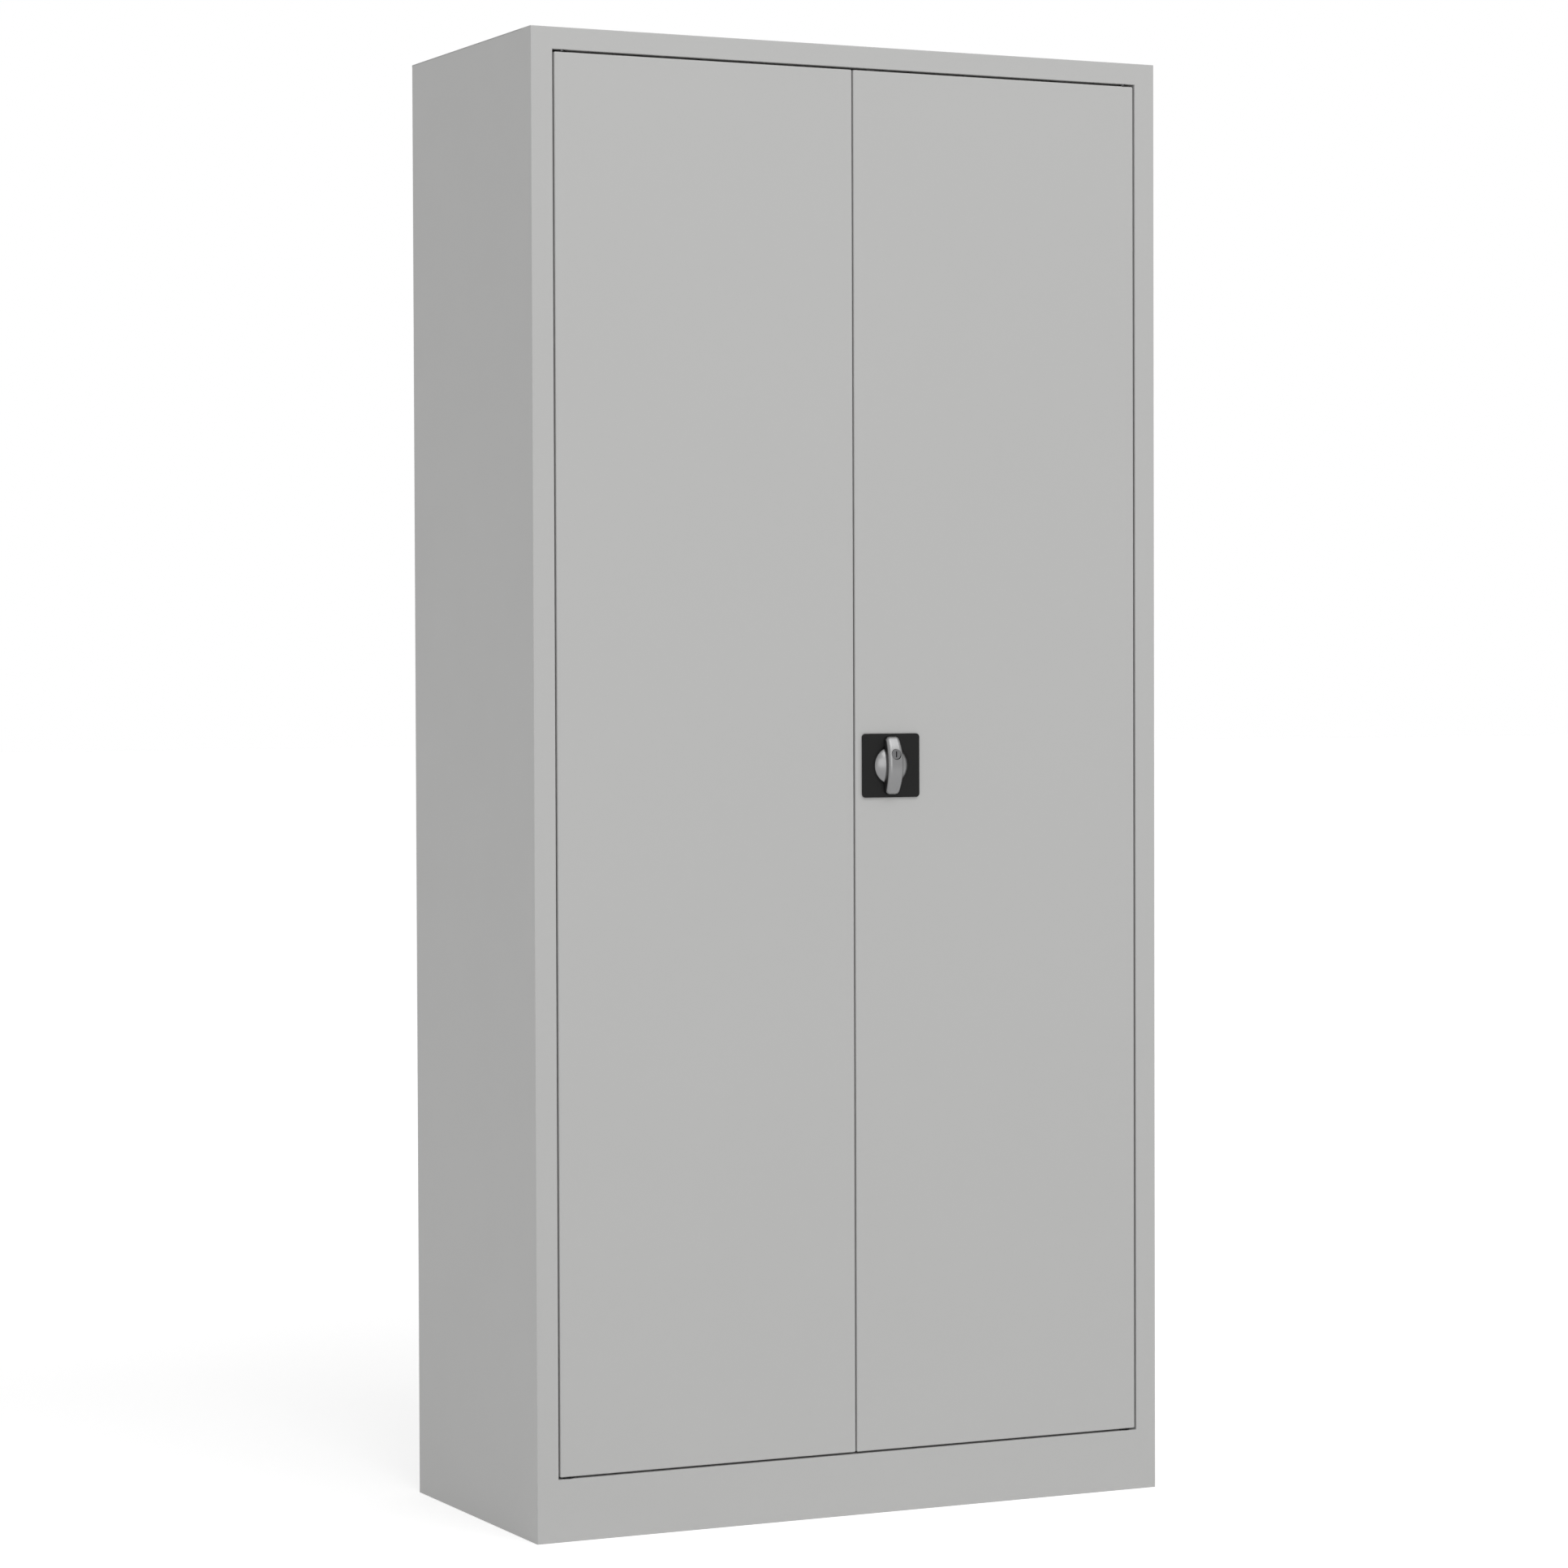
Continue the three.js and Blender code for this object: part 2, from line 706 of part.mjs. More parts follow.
function handlePlate() {
  const collarRear = doorSheet + collarLength;
  const bossRear = caseBackInside - seam;
  const bosses = [bossFromAxis, -bossFromAxis].map((z) => barAlongY(bossRadius, 0, z, plateFront / 2, bossRear));
  const boreFront = bossRear - screwLength;
  return without(joined([
    prismAlongY(roundedRectangle(plateSize, plateSize, plateCorner), plateFront, plateBack),
    barAlongY(collarRadius, 0, 0, plateFront / 2, collarRear, roundSteps),
    ...bosses,
  ]), [
    barAlongY(recessRadius, 0, 0, plateFront - overrun, plateFront + recessDepth, roundSteps),
    barAlongY(spindleRadius + runningGap, 0, 0, plateFront - overrun, collarRear + overrun, roundSteps),
    barAlongY(bossBore, 0, bossFromAxis, boreFront, bossRear + overrun),
    barAlongY(bossBore, 0, -bossFromAxis, boreFront, bossRear + overrun),
  ]);
}

// The grip's front view: sides that bow out to the middle, and rounded ends.
function gripFrontView() {
  const endX = gripEndWidth / 2;
  const bowX = gripMiddleWidth - endX;
  const cornerX = endX - gripCorner;
  const cornerZ = gripLength / 2 - gripCorner;
  const shape = new THREE.Shape();
  shape.moveTo(endX, -cornerZ);
  shape.quadraticCurveTo(bowX, 0, endX, cornerZ);
  shape.absarc(cornerX, cornerZ, gripCorner, 0, quarterTurn);
  shape.absarc(-cornerX, cornerZ, gripCorner, quarterTurn, Math.PI);
  shape.quadraticCurveTo(-bowX, 0, -endX, -cornerZ);
  shape.absarc(-cornerX, -cornerZ, gripCorner, Math.PI, Math.PI + quarterTurn);
  shape.absarc(cornerX, -cornerZ, gripCorner, -quarterTurn, 0);
  return shape;
}

// The grip's side view, drawn in (y, z): flat behind, arched in front.
function gripSideView() {
  const back = plateFront - gripGap;
  const half = gripLength / 2;
  const rise = gripHeight - gripEndHeight;
  const archRadius = (half * half + rise * rise) / (2 * rise);
  const archAngle = Math.asin(half / archRadius);
  const archCentre = plateFront - gripHeight + archRadius;
  const points = [[back, half], [back, -half]];
  for (let step = -curveSteps; step <= curveSteps; step += 1) {
    const angle = archAngle * step / curveSteps;
    points.push([archCentre - archRadius * Math.cos(angle), archRadius * Math.sin(angle)]);
  }
  return outline(points);
}

function turnHandle() {
  const base = plateFront + recessDepth - seam;
  const domeFront = base - domeHeight;
  const rise = domeHeight - domeRim;
  const ballRadius = (domeRadius * domeRadius + rise * rise) / (2 * rise);
  const crown = [];
  for (let step = 0; step <= curveSteps; step += 1) {
    const radius = domeRadius * step / curveSteps;
    crown.push([radius, domeFront + ballRadius - Math.sqrt(ballRadius * ballRadius - radius * radius)]);
  }
  const grip = prismAlongX(gripSideView(), -gripMiddleWidth, gripMiddleWidth)
    .intersect(prismAlongY(gripFrontView(), plateFront - gripHeight - overrun, 0));
  const squareFront = rodDepth - pinionThickness / 2 - seam;
  const tailFront = rodDepth + pinionThickness / 2 + seam;
  const halfSquare = squareSize / 2;
  return without(joined([
    turnedAboutY([...crown, [domeRadius, base], [0, base]], roundSteps),
    grip,
    barAlongY(spindleRadius, 0, 0, domeFront, squareFront, roundSteps),
    box([-halfSquare, halfSquare], [domeFront, tailFront], [-halfSquare, halfSquare]),
    barAlongY(tailRadius, 0, 0, domeFront, tailFront + tailLength),
  ]), [
    barAlongY(plugRadius + seam, 0, plugAboveAxis,
      plateFront - gripHeight - overrun, plateFront - plugFaceHeight + plugLength + seam, roundSteps),
  ]);
}

// The key plug about its own axis, with y = 0 at the plate's front.
function keyPlug() {
  const face = -plugFaceHeight;
  return barAlongY(plugRadius, 0, 0, face, face + plugLength, roundSteps).subtract(box(
    [-keySlotWidth / 2, keySlotWidth / 2],
    [face - overrun, face + keySlotDepth],
    [-keySlotHeight / 2, keySlotHeight / 2]));
}

function lockCase() {
  const x = caseWidth / 2;
  const z = caseHeight / 2;
  const front = doorSheet + seam;
  const rodWay = (side) => {
    const reach = [side * (rodInner - runningGap), side * (rodOuter + runningGap)].sort((a, b) => a - b);
    const ends = [-side * (z - 2 * caseSheet), -side * (z + overrun)].sort((a, b) => a - b);
    const depth = [rodDepth - rodThickness / 2 - runningGap, rodDepth + rodThickness / 2 + runningGap];
    return box(reach, depth, ends);
  };
  const throughBack = [caseBackInside - overrun, caseDepth + overrun];
  return without(box([-x, x], [front, caseDepth], [-z, z]), [
    box([caseSheet - x, x - caseSheet], [front - overrun, caseBackInside], [caseSheet - z, z - caseSheet]),
    rodWay(-1),
    rodWay(1),
    barAlongY(tailRadius + runningGap, 0, 0, ...throughBack),
    barAlongY(bossBore, 0, bossFromAxis, ...throughBack),
    barAlongY(bossBore, 0, -bossFromAxis, ...throughBack),
  ]);
}

// A screw through the back of the lock case, with y = 0 at that back.
function lockScrew() {
  return turnedAboutY([
    [0, caseSheet - screwLength],
    [screwRadius, caseSheet - screwLength],
    [screwRadius, seam],
    [screwHeadRadius, seam],
    [screwHeadRadius, seam + screwHeadHeight],
    [0, seam + screwHeadHeight],
  ]);
}

function involute(angle) {
  return Math.tan(angle) - angle;
}

// The pinion has tooth gaps towards -X and +X, where the racks' teeth lie at rest.
function pinion() {
  const baseRadius = pitchRadius * Math.cos(pressureAngle);
  const tipRadius = pitchRadius + pinionModule;
  const rootRadius = pitchRadius - rackAddendum - meshClearance;
  const toothAngle = 2 * Math.PI / pinionTeeth;
  const pitchHalfAngle = toothAngle / 4 - backlash / (4 * pitchRadius);
  const flank = [[rootRadius, pitchHalfAngle + involute(pressureAngle)]];
  for (let step = 0; step <= flankSteps; step += 1) {
    const radius = baseRadius + (tipRadius - baseRadius) * step / flankSteps;
    const halfAngle = pitchHalfAngle + involute(pressureAngle) - involute(Math.acos(baseRadius / radius));
    flank.push([radius, halfAngle]);
  }
  const points = [];
  for (let tooth = 0; tooth < pinionTeeth; tooth += 1) {
    const middle = (tooth + 1 / 2) * toothAngle;
    for (const [radius, halfAngle] of flank) {
      points.push([radius * Math.cos(middle - halfAngle), radius * Math.sin(middle - halfAngle)]);
    }
    for (const [radius, halfAngle] of [...flank].reverse()) {
      points.push([radius * Math.cos(middle + halfAngle), radius * Math.sin(middle + halfAngle)]);
    }
  }
  const front = rodDepth - pinionThickness / 2;
  const rear = rodDepth + pinionThickness / 2;
  const hole = squareSize / 2 + seam;
  return prismAlongY(outline(points), front, rear)
    .subtract(box([-hole, hole], [front - overrun, rear + overrun], [-hole, hole]));
}

// A locking rod on the pinion's -X side that runs up from the pinion to the given height.
function lockingRod(top) {
  const rootHalf = rackPitch / 4 - backlash / 4 + rackDedendum * Math.tan(pressureAngle);
  const tipHalf = rackPitch / 4 - backlash / 4 - rackAddendum * Math.tan(pressureAngle);
  const points = [[-rodOuter, -rodEnd], [-rodRoot, -rodEnd]];
  for (let tooth = -rackTeethBehind; tooth <= rackTeethAhead; tooth += 1) {
    const z = tooth * rackPitch;
    points.push([-rodRoot, z - rootHalf], [-rodInner, z - tipHalf], [-rodInner, z + tipHalf], [-rodRoot, z + rootHalf]);
  }
  points.push([-rodRoot, top], [-rodOuter, top]);
  return prismAlongY(outline(points), rodDepth - rodThickness / 2, rodDepth + rodThickness / 2);
}

// A guide block about its rod's middle line.
function rodGuide() {
  const inX = rodBack / 2 + runningGap;
  const outX = inX + guideWall;
  const inY = [rodDepth - rodThickness / 2 - runningGap, rodDepth + rodThickness / 2 + runningGap];
  const z = [-guideHeight / 2, guideHeight / 2];
  return box([-outX, outX], [doorSheet + seam, guideDepth], z)
    .subtract(box([-inX, inX], inY, [z[0] - overrun, z[1] + overrun]));
}

// Materials

function finish(color, roughness, metalness) {
  return new THREE.MeshStandardMaterial({ color, roughness, metalness, flatShading: true });
}

const powderCoat = () => finish(0xc3c4c1, 0.5, 0);
const zincPlate = () => finish(0xb4b7b8, 0.45, 0.9);
const satinChrome = () => finish(0xb9b9ba, 0.25, 1);
const blackPlastic = () => finish(0x262626, 0.55, 0);
const whiteNylon = () => finish(0xe4e2da, 0.5, 0);
const greyRubber = () => finish(0x4a4a4a, 0.85, 0);
const darkSteel = () => finish(0x6f7072, 0.4, 1);

// Assembly

const sideNames = new Map([[-1, "left"], [1, "right"]]);

function placed(mesh, x, y, z) {
  mesh.position.set(x, y, z);
  return mesh;
}

function carcassGroup() {
  const group = new THREE.Group();
  for (const [side, word] of sideNames) {
    group.add(
      meshFrom(`${word}_side_panel`, sidePanel(side), powderCoat()),
      meshFrom(`${word}_stile`, stile(side), powderCoat()),
    );
  }
  group.add(
    meshFrom("roof_panel", roofPanel(), powderCoat()),
    meshFrom("top_rail", topRail(), powderCoat()),
    meshFrom("top_stop", topStop(), powderCoat()),
    meshFrom("plinth_front", plinthFront(), powderCoat()),
    meshFrom("floor_panel", floorPanel(), powderCoat()),
    meshFrom("back_panel", backPanel(), powderCoat()),
  );
  return group;
}

const uprightPlaces = [
  ["front", frontUprightDepth],
  ["rear", cabinetDepth - rearUprightInset],
];

function uprightsGroup() {
  const group = new THREE.Group();
  for (const [side, word] of sideNames) {
    for (const [place, depth] of uprightPlaces) {
      group.add(placed(meshFrom(`${place}_${word}_upright`, upright(side), powderCoat()), 0, depth, uprightFoot));
    }
  }
  return group;
}

// A shelf's group has z = 0 at the bottom of the slots that its clips sit in.
function shelfGroup(number) {
  const group = new THREE.Group();
  const ledgeTop = seam + clipSheet;
  group.add(placed(meshFrom(`shelf_${number}`, shelf(), powderCoat()), 0, 0, ledgeTop + seam));
  for (const [side, word] of sideNames) {
    for (const [place, depth] of uprightPlaces) {
      const clip = meshFrom(`shelf_${number}_${place}_${word}_clip`, shelfClip(side), zincPlate());
      group.add(placed(clip, side * uprightInside, depth, 0));
    }
  }
  return group;
}

function hingeGroup() {
  const group = new THREE.Group();
  for (const [side, word] of sideNames) {
    const topPin = meshFrom(`${word}_top_hinge_pin`, hingePin(topGap), darkSteel());
    const bottomPin = meshFrom(`${word}_bottom_hinge_pin`, hingePin(bottomGap), darkSteel());
    bottomPin.rotation.x = Math.PI;
    group.add(
      placed(topPin, side * pivotX, pivotDepth, doorTop),
      placed(bottomPin, side * pivotX, pivotDepth, doorBottom),
    );
  }
  return group;
}

function bufferGroup() {
  const group = new THREE.Group();
  for (const [side, word] of sideNames) {
    const x = side * bufferFromCentre;
    group.add(
      placed(meshFrom(`${word}_top_buffer`, doorBuffer(), greyRubber()), x, stopDepth, doorTop - doorLip / 2),
      placed(meshFrom(`${word}_bottom_buffer`, doorBuffer(), greyRubber()), x, stopDepth, doorBottom + doorLip / 2),
    );
  }
  return group;
}

function doorGroup(side, panel) {
  const word = sideNames.get(side);
  const group = new THREE.Group();
  group.position.set(side * doorMiddle, 0, doorBottom);
  const pivot = side * pivotFromDoorMiddle;
  const topBush = meshFrom(`${word}_door_top_bush`, hingeBush(bushFlangeHeight), blackPlastic());
  const bottomBush = meshFrom(`${word}_door_bottom_bush`, hingeBush(thrustFlangeHeight), blackPlastic());
  bottomBush.rotation.x = Math.PI;
  group.add(
    meshFrom(`${word}_door`, panel, powderCoat()),
    placed(topBush, pivot, pivotDepth, doorHeight),
    placed(bottomBush, pivot, pivotDepth, 0),
  );
  return group;
}

function lockGroup() {
  const group = new THREE.Group();
  group.position.set(handleInDoorX, 0, handleInDoorZ);
  const upwards = doorHeight - handleInDoorZ;
  const lowerRod = meshFrom("lower_rod", lockingRod(handleInDoorZ - rodShort), zincPlate());
  lowerRod.rotation.y = Math.PI;
  group.add(
    meshFrom("handle_plate", handlePlate(), blackPlastic()),
    meshFrom("turn_handle", turnHandle(), satinChrome()),
    placed(meshFrom("key_plug", keyPlug(), darkSteel()), 0, plateFront, plugAboveAxis),
    meshFrom("lock_case", lockCase(), zincPlate()),
    placed(meshFrom("upper_lock_screw", lockScrew(), zincPlate()), 0, caseDepth, bossFromAxis),
    placed(meshFrom("lower_lock_screw", lockScrew(), zincPlate()), 0, caseDepth, -bossFromAxis),
    meshFrom("pinion", pinion(), darkSteel()),
    meshFrom("upper_rod", lockingRod(upwards - rodShort), zincPlate()),
    lowerRod,
    placed(meshFrom("upper_rod_guide", rodGuide(), whiteNylon()), -rodMiddle, 0, guideShare * upwards),
    placed(meshFrom("lower_rod_guide", rodGuide(), whiteNylon()), rodMiddle, 0, -guideShare * handleInDoorZ),
  );
  return group;
}

const cabinet = new THREE.Group();
cabinet.position.y = (handleProjection - cabinetDepth) / 2;
cabinet.add(carcassGroup(), uprightsGroup(), hingeGroup(), bufferGroup());
for (let number = 1; number <= shelfCount; number += 1) {
  const slot = Math.round(number * slotCount / (shelfCount + 1)) - 1;
  const shelfAssembly = shelfGroup(number);
  shelfAssembly.position.z = firstSlot + slot * slotPitch;
  cabinet.add(shelfAssembly);
}
cabinet.add(doorGroup(-1, doorPanel(-1)));
const rightDoor = doorGroup(1, lockDoorPanel(1));
rightDoor.add(lockGroup());
cabinet.add(rightDoor);

const part = new THREE.Group();
part.add(cabinet);

export default part;
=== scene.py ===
"""A tall steel storage cabinet in a plain studio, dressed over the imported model.

Lengths are in metres. The front faces -Y, and every piece is made where it stays.
"""

import json
import logging
import math
from collections.abc import Callable, Iterable, Sequence
from dataclasses import dataclass
from enum import Enum

import bmesh
import bpy
from mathutils import Matrix, Vector


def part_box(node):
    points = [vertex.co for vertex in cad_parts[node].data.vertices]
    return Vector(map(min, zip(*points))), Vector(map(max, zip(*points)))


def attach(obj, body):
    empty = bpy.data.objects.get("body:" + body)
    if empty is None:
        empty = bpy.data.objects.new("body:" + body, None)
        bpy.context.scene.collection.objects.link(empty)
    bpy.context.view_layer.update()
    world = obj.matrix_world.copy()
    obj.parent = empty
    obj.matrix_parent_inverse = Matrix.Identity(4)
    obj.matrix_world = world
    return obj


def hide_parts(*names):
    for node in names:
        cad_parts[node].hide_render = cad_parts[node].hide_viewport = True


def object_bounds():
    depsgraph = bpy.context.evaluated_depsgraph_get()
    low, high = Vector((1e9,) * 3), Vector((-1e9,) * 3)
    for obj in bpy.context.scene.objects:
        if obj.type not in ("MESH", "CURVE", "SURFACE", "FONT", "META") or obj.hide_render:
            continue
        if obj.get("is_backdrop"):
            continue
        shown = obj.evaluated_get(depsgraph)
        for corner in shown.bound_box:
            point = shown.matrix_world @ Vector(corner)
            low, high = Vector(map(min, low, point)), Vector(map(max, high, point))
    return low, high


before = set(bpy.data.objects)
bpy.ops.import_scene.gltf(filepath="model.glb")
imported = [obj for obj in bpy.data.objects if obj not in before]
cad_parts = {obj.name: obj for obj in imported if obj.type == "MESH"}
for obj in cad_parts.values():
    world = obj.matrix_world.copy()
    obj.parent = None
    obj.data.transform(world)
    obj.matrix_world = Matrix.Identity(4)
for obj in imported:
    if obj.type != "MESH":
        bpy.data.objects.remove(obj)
packed_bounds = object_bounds()

log = logging.getLogger("cabinet")

QUARTER_TURN = math.pi / 2
FULL_TURN = 2 * math.pi
SHARP_ANGLE = math.radians(50)

# Within TOUCHING two places count as one, and within MERGING two points become one.
TOUCHING = 1e-5
MERGING = 1e-6

# A face looks in a direction if its normal's share of it is above this.
FACING = 0.5

BLACK = (0.0, 0.0, 0.0)
WHITE = (1.0, 1.0, 1.0)

# The facets of a sheet's fold, of a turned piece and of a small turned piece.
FOLD_STEPS = 5
ROUND_STEPS = 48
SMALL_ROUND_STEPS = 32

# The colour sockets of a Mix node, whose names its number sockets have too.
MIX_DARK = 6
MIX_LIGHT = 7
MIX_RESULT = 2


class Axis(Enum):
    """A direction of the shared frame."""

    X = 0
    Y = 1
    Z = 2

    def vector(self, length: float = 1.0) -> Vector:
        """Return a vector of the given length along this axis."""
        return Vector([length if axis is self else 0.0 for axis in Axis])

    def point(self, first: float, second: float, along: float) -> Vector:
        """Return the point with two section coordinates and a place along this axis.

        Args:
            first: The coordinate on the lower of the other two axes.
            second: The coordinate on the higher of the other two axes.
            along: The coordinate on this axis.

        Returns:
            The point in the shared frame.
        """
        others = [first, second]
        others.insert(self.value, along)
        return Vector(others)


class Body(Enum):
    """The rigid bodies that pieces ride on."""

    CARCASS = "carcass"
    LEFT_DOOR = "left_door"
    RIGHT_DOOR = "right_door"
    HANDLE = "handle"
    KEY_PLUG = "key_plug"
    UPPER_ROD = "upper_rod"
    LOWER_ROD = "lower_rod"


class Slot(Enum):
    """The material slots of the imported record."""

    POWDER_COAT = "powder_coat"
    ZINC_PLATE = "zinc_plate"
    SATIN_CHROME = "satin_chrome"
    BLACK_PLASTIC = "black_plastic"
    WHITE_NYLON = "white_nylon"
    GREY_RUBBER = "grey_rubber"
    DARK_STEEL = "dark_steel"


class Side(Enum):
    """The two sides of the cabinet, seen from the front."""

    LEFT = -1
    RIGHT = 1

    @property
    def word(self) -> str:
        """The side's name inside node names."""
        return self.name.lower()

    @property
    def door(self) -> Body:
        """The door on this side."""
        return Body.LEFT_DOOR if self is Side.LEFT else Body.RIGHT_DOOR


class Rod(Enum):
    """The two locking rods, by the way that each slides out of the door."""

    UPPER = 1
    LOWER = -1

    @property
    def node(self) -> str:
        """The rod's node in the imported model."""
        return f"{self.name.lower()}_rod"

    @property
    def body(self) -> Body:
        """The rod's own body."""
        return Body(self.node)


# Shader graphs


@dataclass(frozen=True)
class Pattern:
    """Noise laid over a surface.

    Attributes:
        scale: Its features per metre.
        amount: How far it moves what it drives. A relief is so many metres deep.
        detail: How many finer layers it has.
    """

    scale: float
    amount: float
    detail: float


class Signal:
    """A shader value or colour that can be added to and multiplied."""

    def __init__(self, graph: "Graph", socket: bpy.types.NodeSocket) -> None:
        """Wrap an output socket of the given graph."""
        self.graph = graph
        self.socket = socket

    def __add__(self, other: "Signal | float") -> "Signal":
        """Return the sum."""
        return self.graph.maths("ADD", self, other)

    def __radd__(self, other: float) -> "Signal":
        """Return the sum."""
        return self.graph.maths("ADD", other, self)

    def __mul__(self, other: "Signal | float") -> "Signal":
        """Return the product."""
        return self.graph.maths("MULTIPLY", self, other)

    def __rmul__(self, other: float) -> "Signal":
        """Return the product."""
        return self.graph.maths("MULTIPLY", other, self)


class Graph:
    """The node tree of a material or of the world."""

    def __init__(self, tree: bpy.types.NodeTree) -> None:
        """Start from an empty tree."""
        self.tree = tree
        tree.nodes.clear()

    def node(self, kind: str, settings: dict[str, object] | None = None, **inputs: object) -> bpy.types.Node:
        """Add a node, set it up, then set or link its inputs.

        Args:
            kind: The node's type name.
            settings: Properties to set before the inputs are looked up.
            **inputs: Values, signals or sockets by input name, with underscores for spaces.

        Returns:
            The new node.
        """
        node = self.tree.nodes.new(kind)
        for name, value in (settings or {}).items():
            setattr(node, name, value)
        for name, value in inputs.items():
            self.feed(node.inputs[name.replace("_", " ")], value)
        return node

    def feed(self, entry: bpy.types.NodeSocket, value: object) -> None:
        """Link something to an input socket, or set the socket's own value.

        Args:
            entry: The input socket.
            value: The signal or output socket to link, or the plain value to set.
        """
        if isinstance(value, Signal):
            self.tree.links.new(value.socket, entry)
        elif isinstance(value, bpy.types.NodeSocket):
            self.tree.links.new(value, entry)
        else:
            entry.default_value = value

    def maths(self, operation: str, first: "Signal | float", second: "Signal | float") -> Signal:
        """Work out one thing from two values.

        Args:
            operation: The name of what the maths node does.
            first: The first value.
            second: The second value.

        Returns:
            The result.
        """
        node = self.node("ShaderNodeMath", {"operation": operation})
        for entry, value in zip(node.inputs, (first, second)):
            self.feed(entry, value)
        return Signal(self, node.outputs["Value"])

    def noise(self, pattern: Pattern) -> Signal:
        """Lay a pattern over the object's own coordinates.

        Args:
            pattern: The pattern, whose amount is left to the caller.

        Returns:
            The noise, between 0 and 1.
        """
        place = self.node("ShaderNodeTexCoord").outputs["Object"]
        noise = self.node("ShaderNodeTexNoise", Vector=place, Scale=pattern.scale, Detail=pattern.detail)
        return Signal(self, noise.outputs["Fac"])

    def relief(self, pattern: Pattern) -> Signal:
        """Return the height of a pattern's relief, in metres."""
        return self.noise(pattern) * pattern.amount

    def blend(self, share: Signal, dark: Sequence[float], light: Sequence[float]) -> bpy.types.NodeSocket:
        """Mix two colours.

        Args:
            share: The share of the second colour.
            dark: The first colour.
            light: The second colour.

        Returns:
            The socket of the mixed colour.
        """
        mix = self.node("ShaderNodeMix", {"data_type": "RGBA"}, Factor=share)
        self.feed(mix.inputs[MIX_DARK], (*dark, 1.0))
        self.feed(mix.inputs[MIX_LIGHT], (*light, 1.0))
        return mix.outputs[MIX_RESULT]

    def bump(self, height: Signal) -> bpy.types.NodeSocket:
        """Return the normal that a height in metres bends."""
        return self.node("ShaderNodeBump", Height=height, Distance=1.0, Strength=1.0).outputs["Normal"]


@dataclass(frozen=True)
class Finish:
    """A surface finish: one principled shader with its own grain.

    Attributes:
        slot: The record's slot that the finish dresses.
        colour: The middle of the base colour.
        roughness: The middle of the roughness.
        clouds: What the colour strays with, by a share of itself either way.
        smears: What the roughness strays with. Its amount is the width of the range.
        grain: The finest relief.
    """

    slot: Slot
    colour: tuple[float, float, float]
    roughness: float
    clouds: Pattern
    smears: Pattern
    grain: Pattern

    def material(self) -> bpy.types.Material:
        """Give this finish's material, which is made on first use.

        Returns:
            The one material of this finish.
        """
        name = f"{self.slot.value}_finish"
        existing = bpy.data.materials.get(name)
        if existing is not None:
            return existing
        material = bpy.data.materials.new(name)
        material.use_nodes = True
        graph = Graph(material.node_tree)
        shader = graph.node("ShaderNodeBsdfPrincipled", Base_Color=self.tone(graph),
                            Roughness=self.gloss(graph), Normal=graph.bump(self.height(graph)),
                            **self.even_values())
        graph.node("ShaderNodeOutputMaterial", Surface=shader.outputs["BSDF"])
        return material

    def tone(self, graph: Graph) -> bpy.types.NodeSocket:
        """Let the colour stray about its middle.

        Args:
            graph: The graph to add to.

        Returns:
            The colour.
        """
        spread = self.clouds.amount
        darker, lighter = ([part * share for part in self.colour] for share in (1 - spread, 1 + spread))
        return graph.blend(graph.noise(self.clouds), darker, lighter)

    def gloss(self, graph: Graph) -> Signal:
        """Return the roughness, which strays about its middle."""
        return graph.relief(self.smears) + (self.roughness - self.smears.amount / 2)

    def height(self, graph: Graph) -> Signal:
        """Return the height of the surface's relief."""
        return graph.relief(self.grain)

    def even_values(self) -> dict[str, object]:
        """Return the shader's inputs that are the same all over the surface."""
        return {}


@dataclass(frozen=True)
class PowderCoat(Finish):
    """Light grey powder coat on sheet steel, with a fine orange-peel skin.

    Attributes:
        peel: The orange peel.
        waves: The slow waves of the sheet.
        shine: The skin's specular level.
    """

    slot: Slot = Slot.POWDER_COAT
    colour: tuple[float, float, float] = (0.55, 0.55, 0.543)
    roughness: float = 0.42
    clouds: Pattern = Pattern(3.1, 0.012, 3.0)
    smears: Pattern = Pattern(14.0, 0.08, 4.0)
    grain: Pattern = Pattern(1900.0, 0.000003, 2.0)
    peel: Pattern = Pattern(420.0, 0.00001, 1.0)
    waves: Pattern = Pattern(2.2, 0.0004, 0.0)
    shine: float = 0.42

    def height(self, graph: Graph) -> Signal:
        """Return the height of the peel with its powder grain and the sheet's waves."""
        return graph.relief(self.peel) + graph.relief(self.grain) + graph.relief(self.waves)

    def even_values(self) -> dict[str, object]:
        """Return the skin's specular level."""
        return {"Specular_IOR_Level": self.shine}


@dataclass(frozen=True)
class Metal(Finish):
    """Bare or plated metal with a fine grain and a little tarnish."""

    clouds: Pattern = Pattern(95.0, 0.05, 3.0)
    smears: Pattern = Pattern(160.0, 0.12, 4.0)
    grain: Pattern = Pattern(900.0, 0.000004, 3.0)

    def even_values(self) -> dict[str, object]:
        """Return what makes the shader metal."""
        return {"Metallic": 1.0}


@dataclass(frozen=True)
class Moulded(Finish):
    """A moulded plastic or rubber with a spark-eroded grain.

    Attributes:
        shine: The moulding's specular level.
        soft_light: How much light passes under the surface.
        light_reach: How far red, green and blue light travel there.
    """

    clouds: Pattern = Pattern(60.0, 0.08, 3.0)
    smears: Pattern = Pattern(210.0, 0.1, 3.0)
    grain: Pattern = Pattern(1400.0, 0.00001, 2.0)
    shine: float = 0.5
    soft_light: float = 0.0
    light_reach: tuple[float, float, float] = (0.002, 0.002, 0.0015)

    def even_values(self) -> dict[str, object]:
        """Return the specular level, and the light under the surface where there is any."""
        soft = {"Subsurface_Weight": self.soft_light, "Subsurface_Radius": self.light_reach}
        return {"Specular_IOR_Level": self.shine} | (soft if self.soft_light > 0 else {})


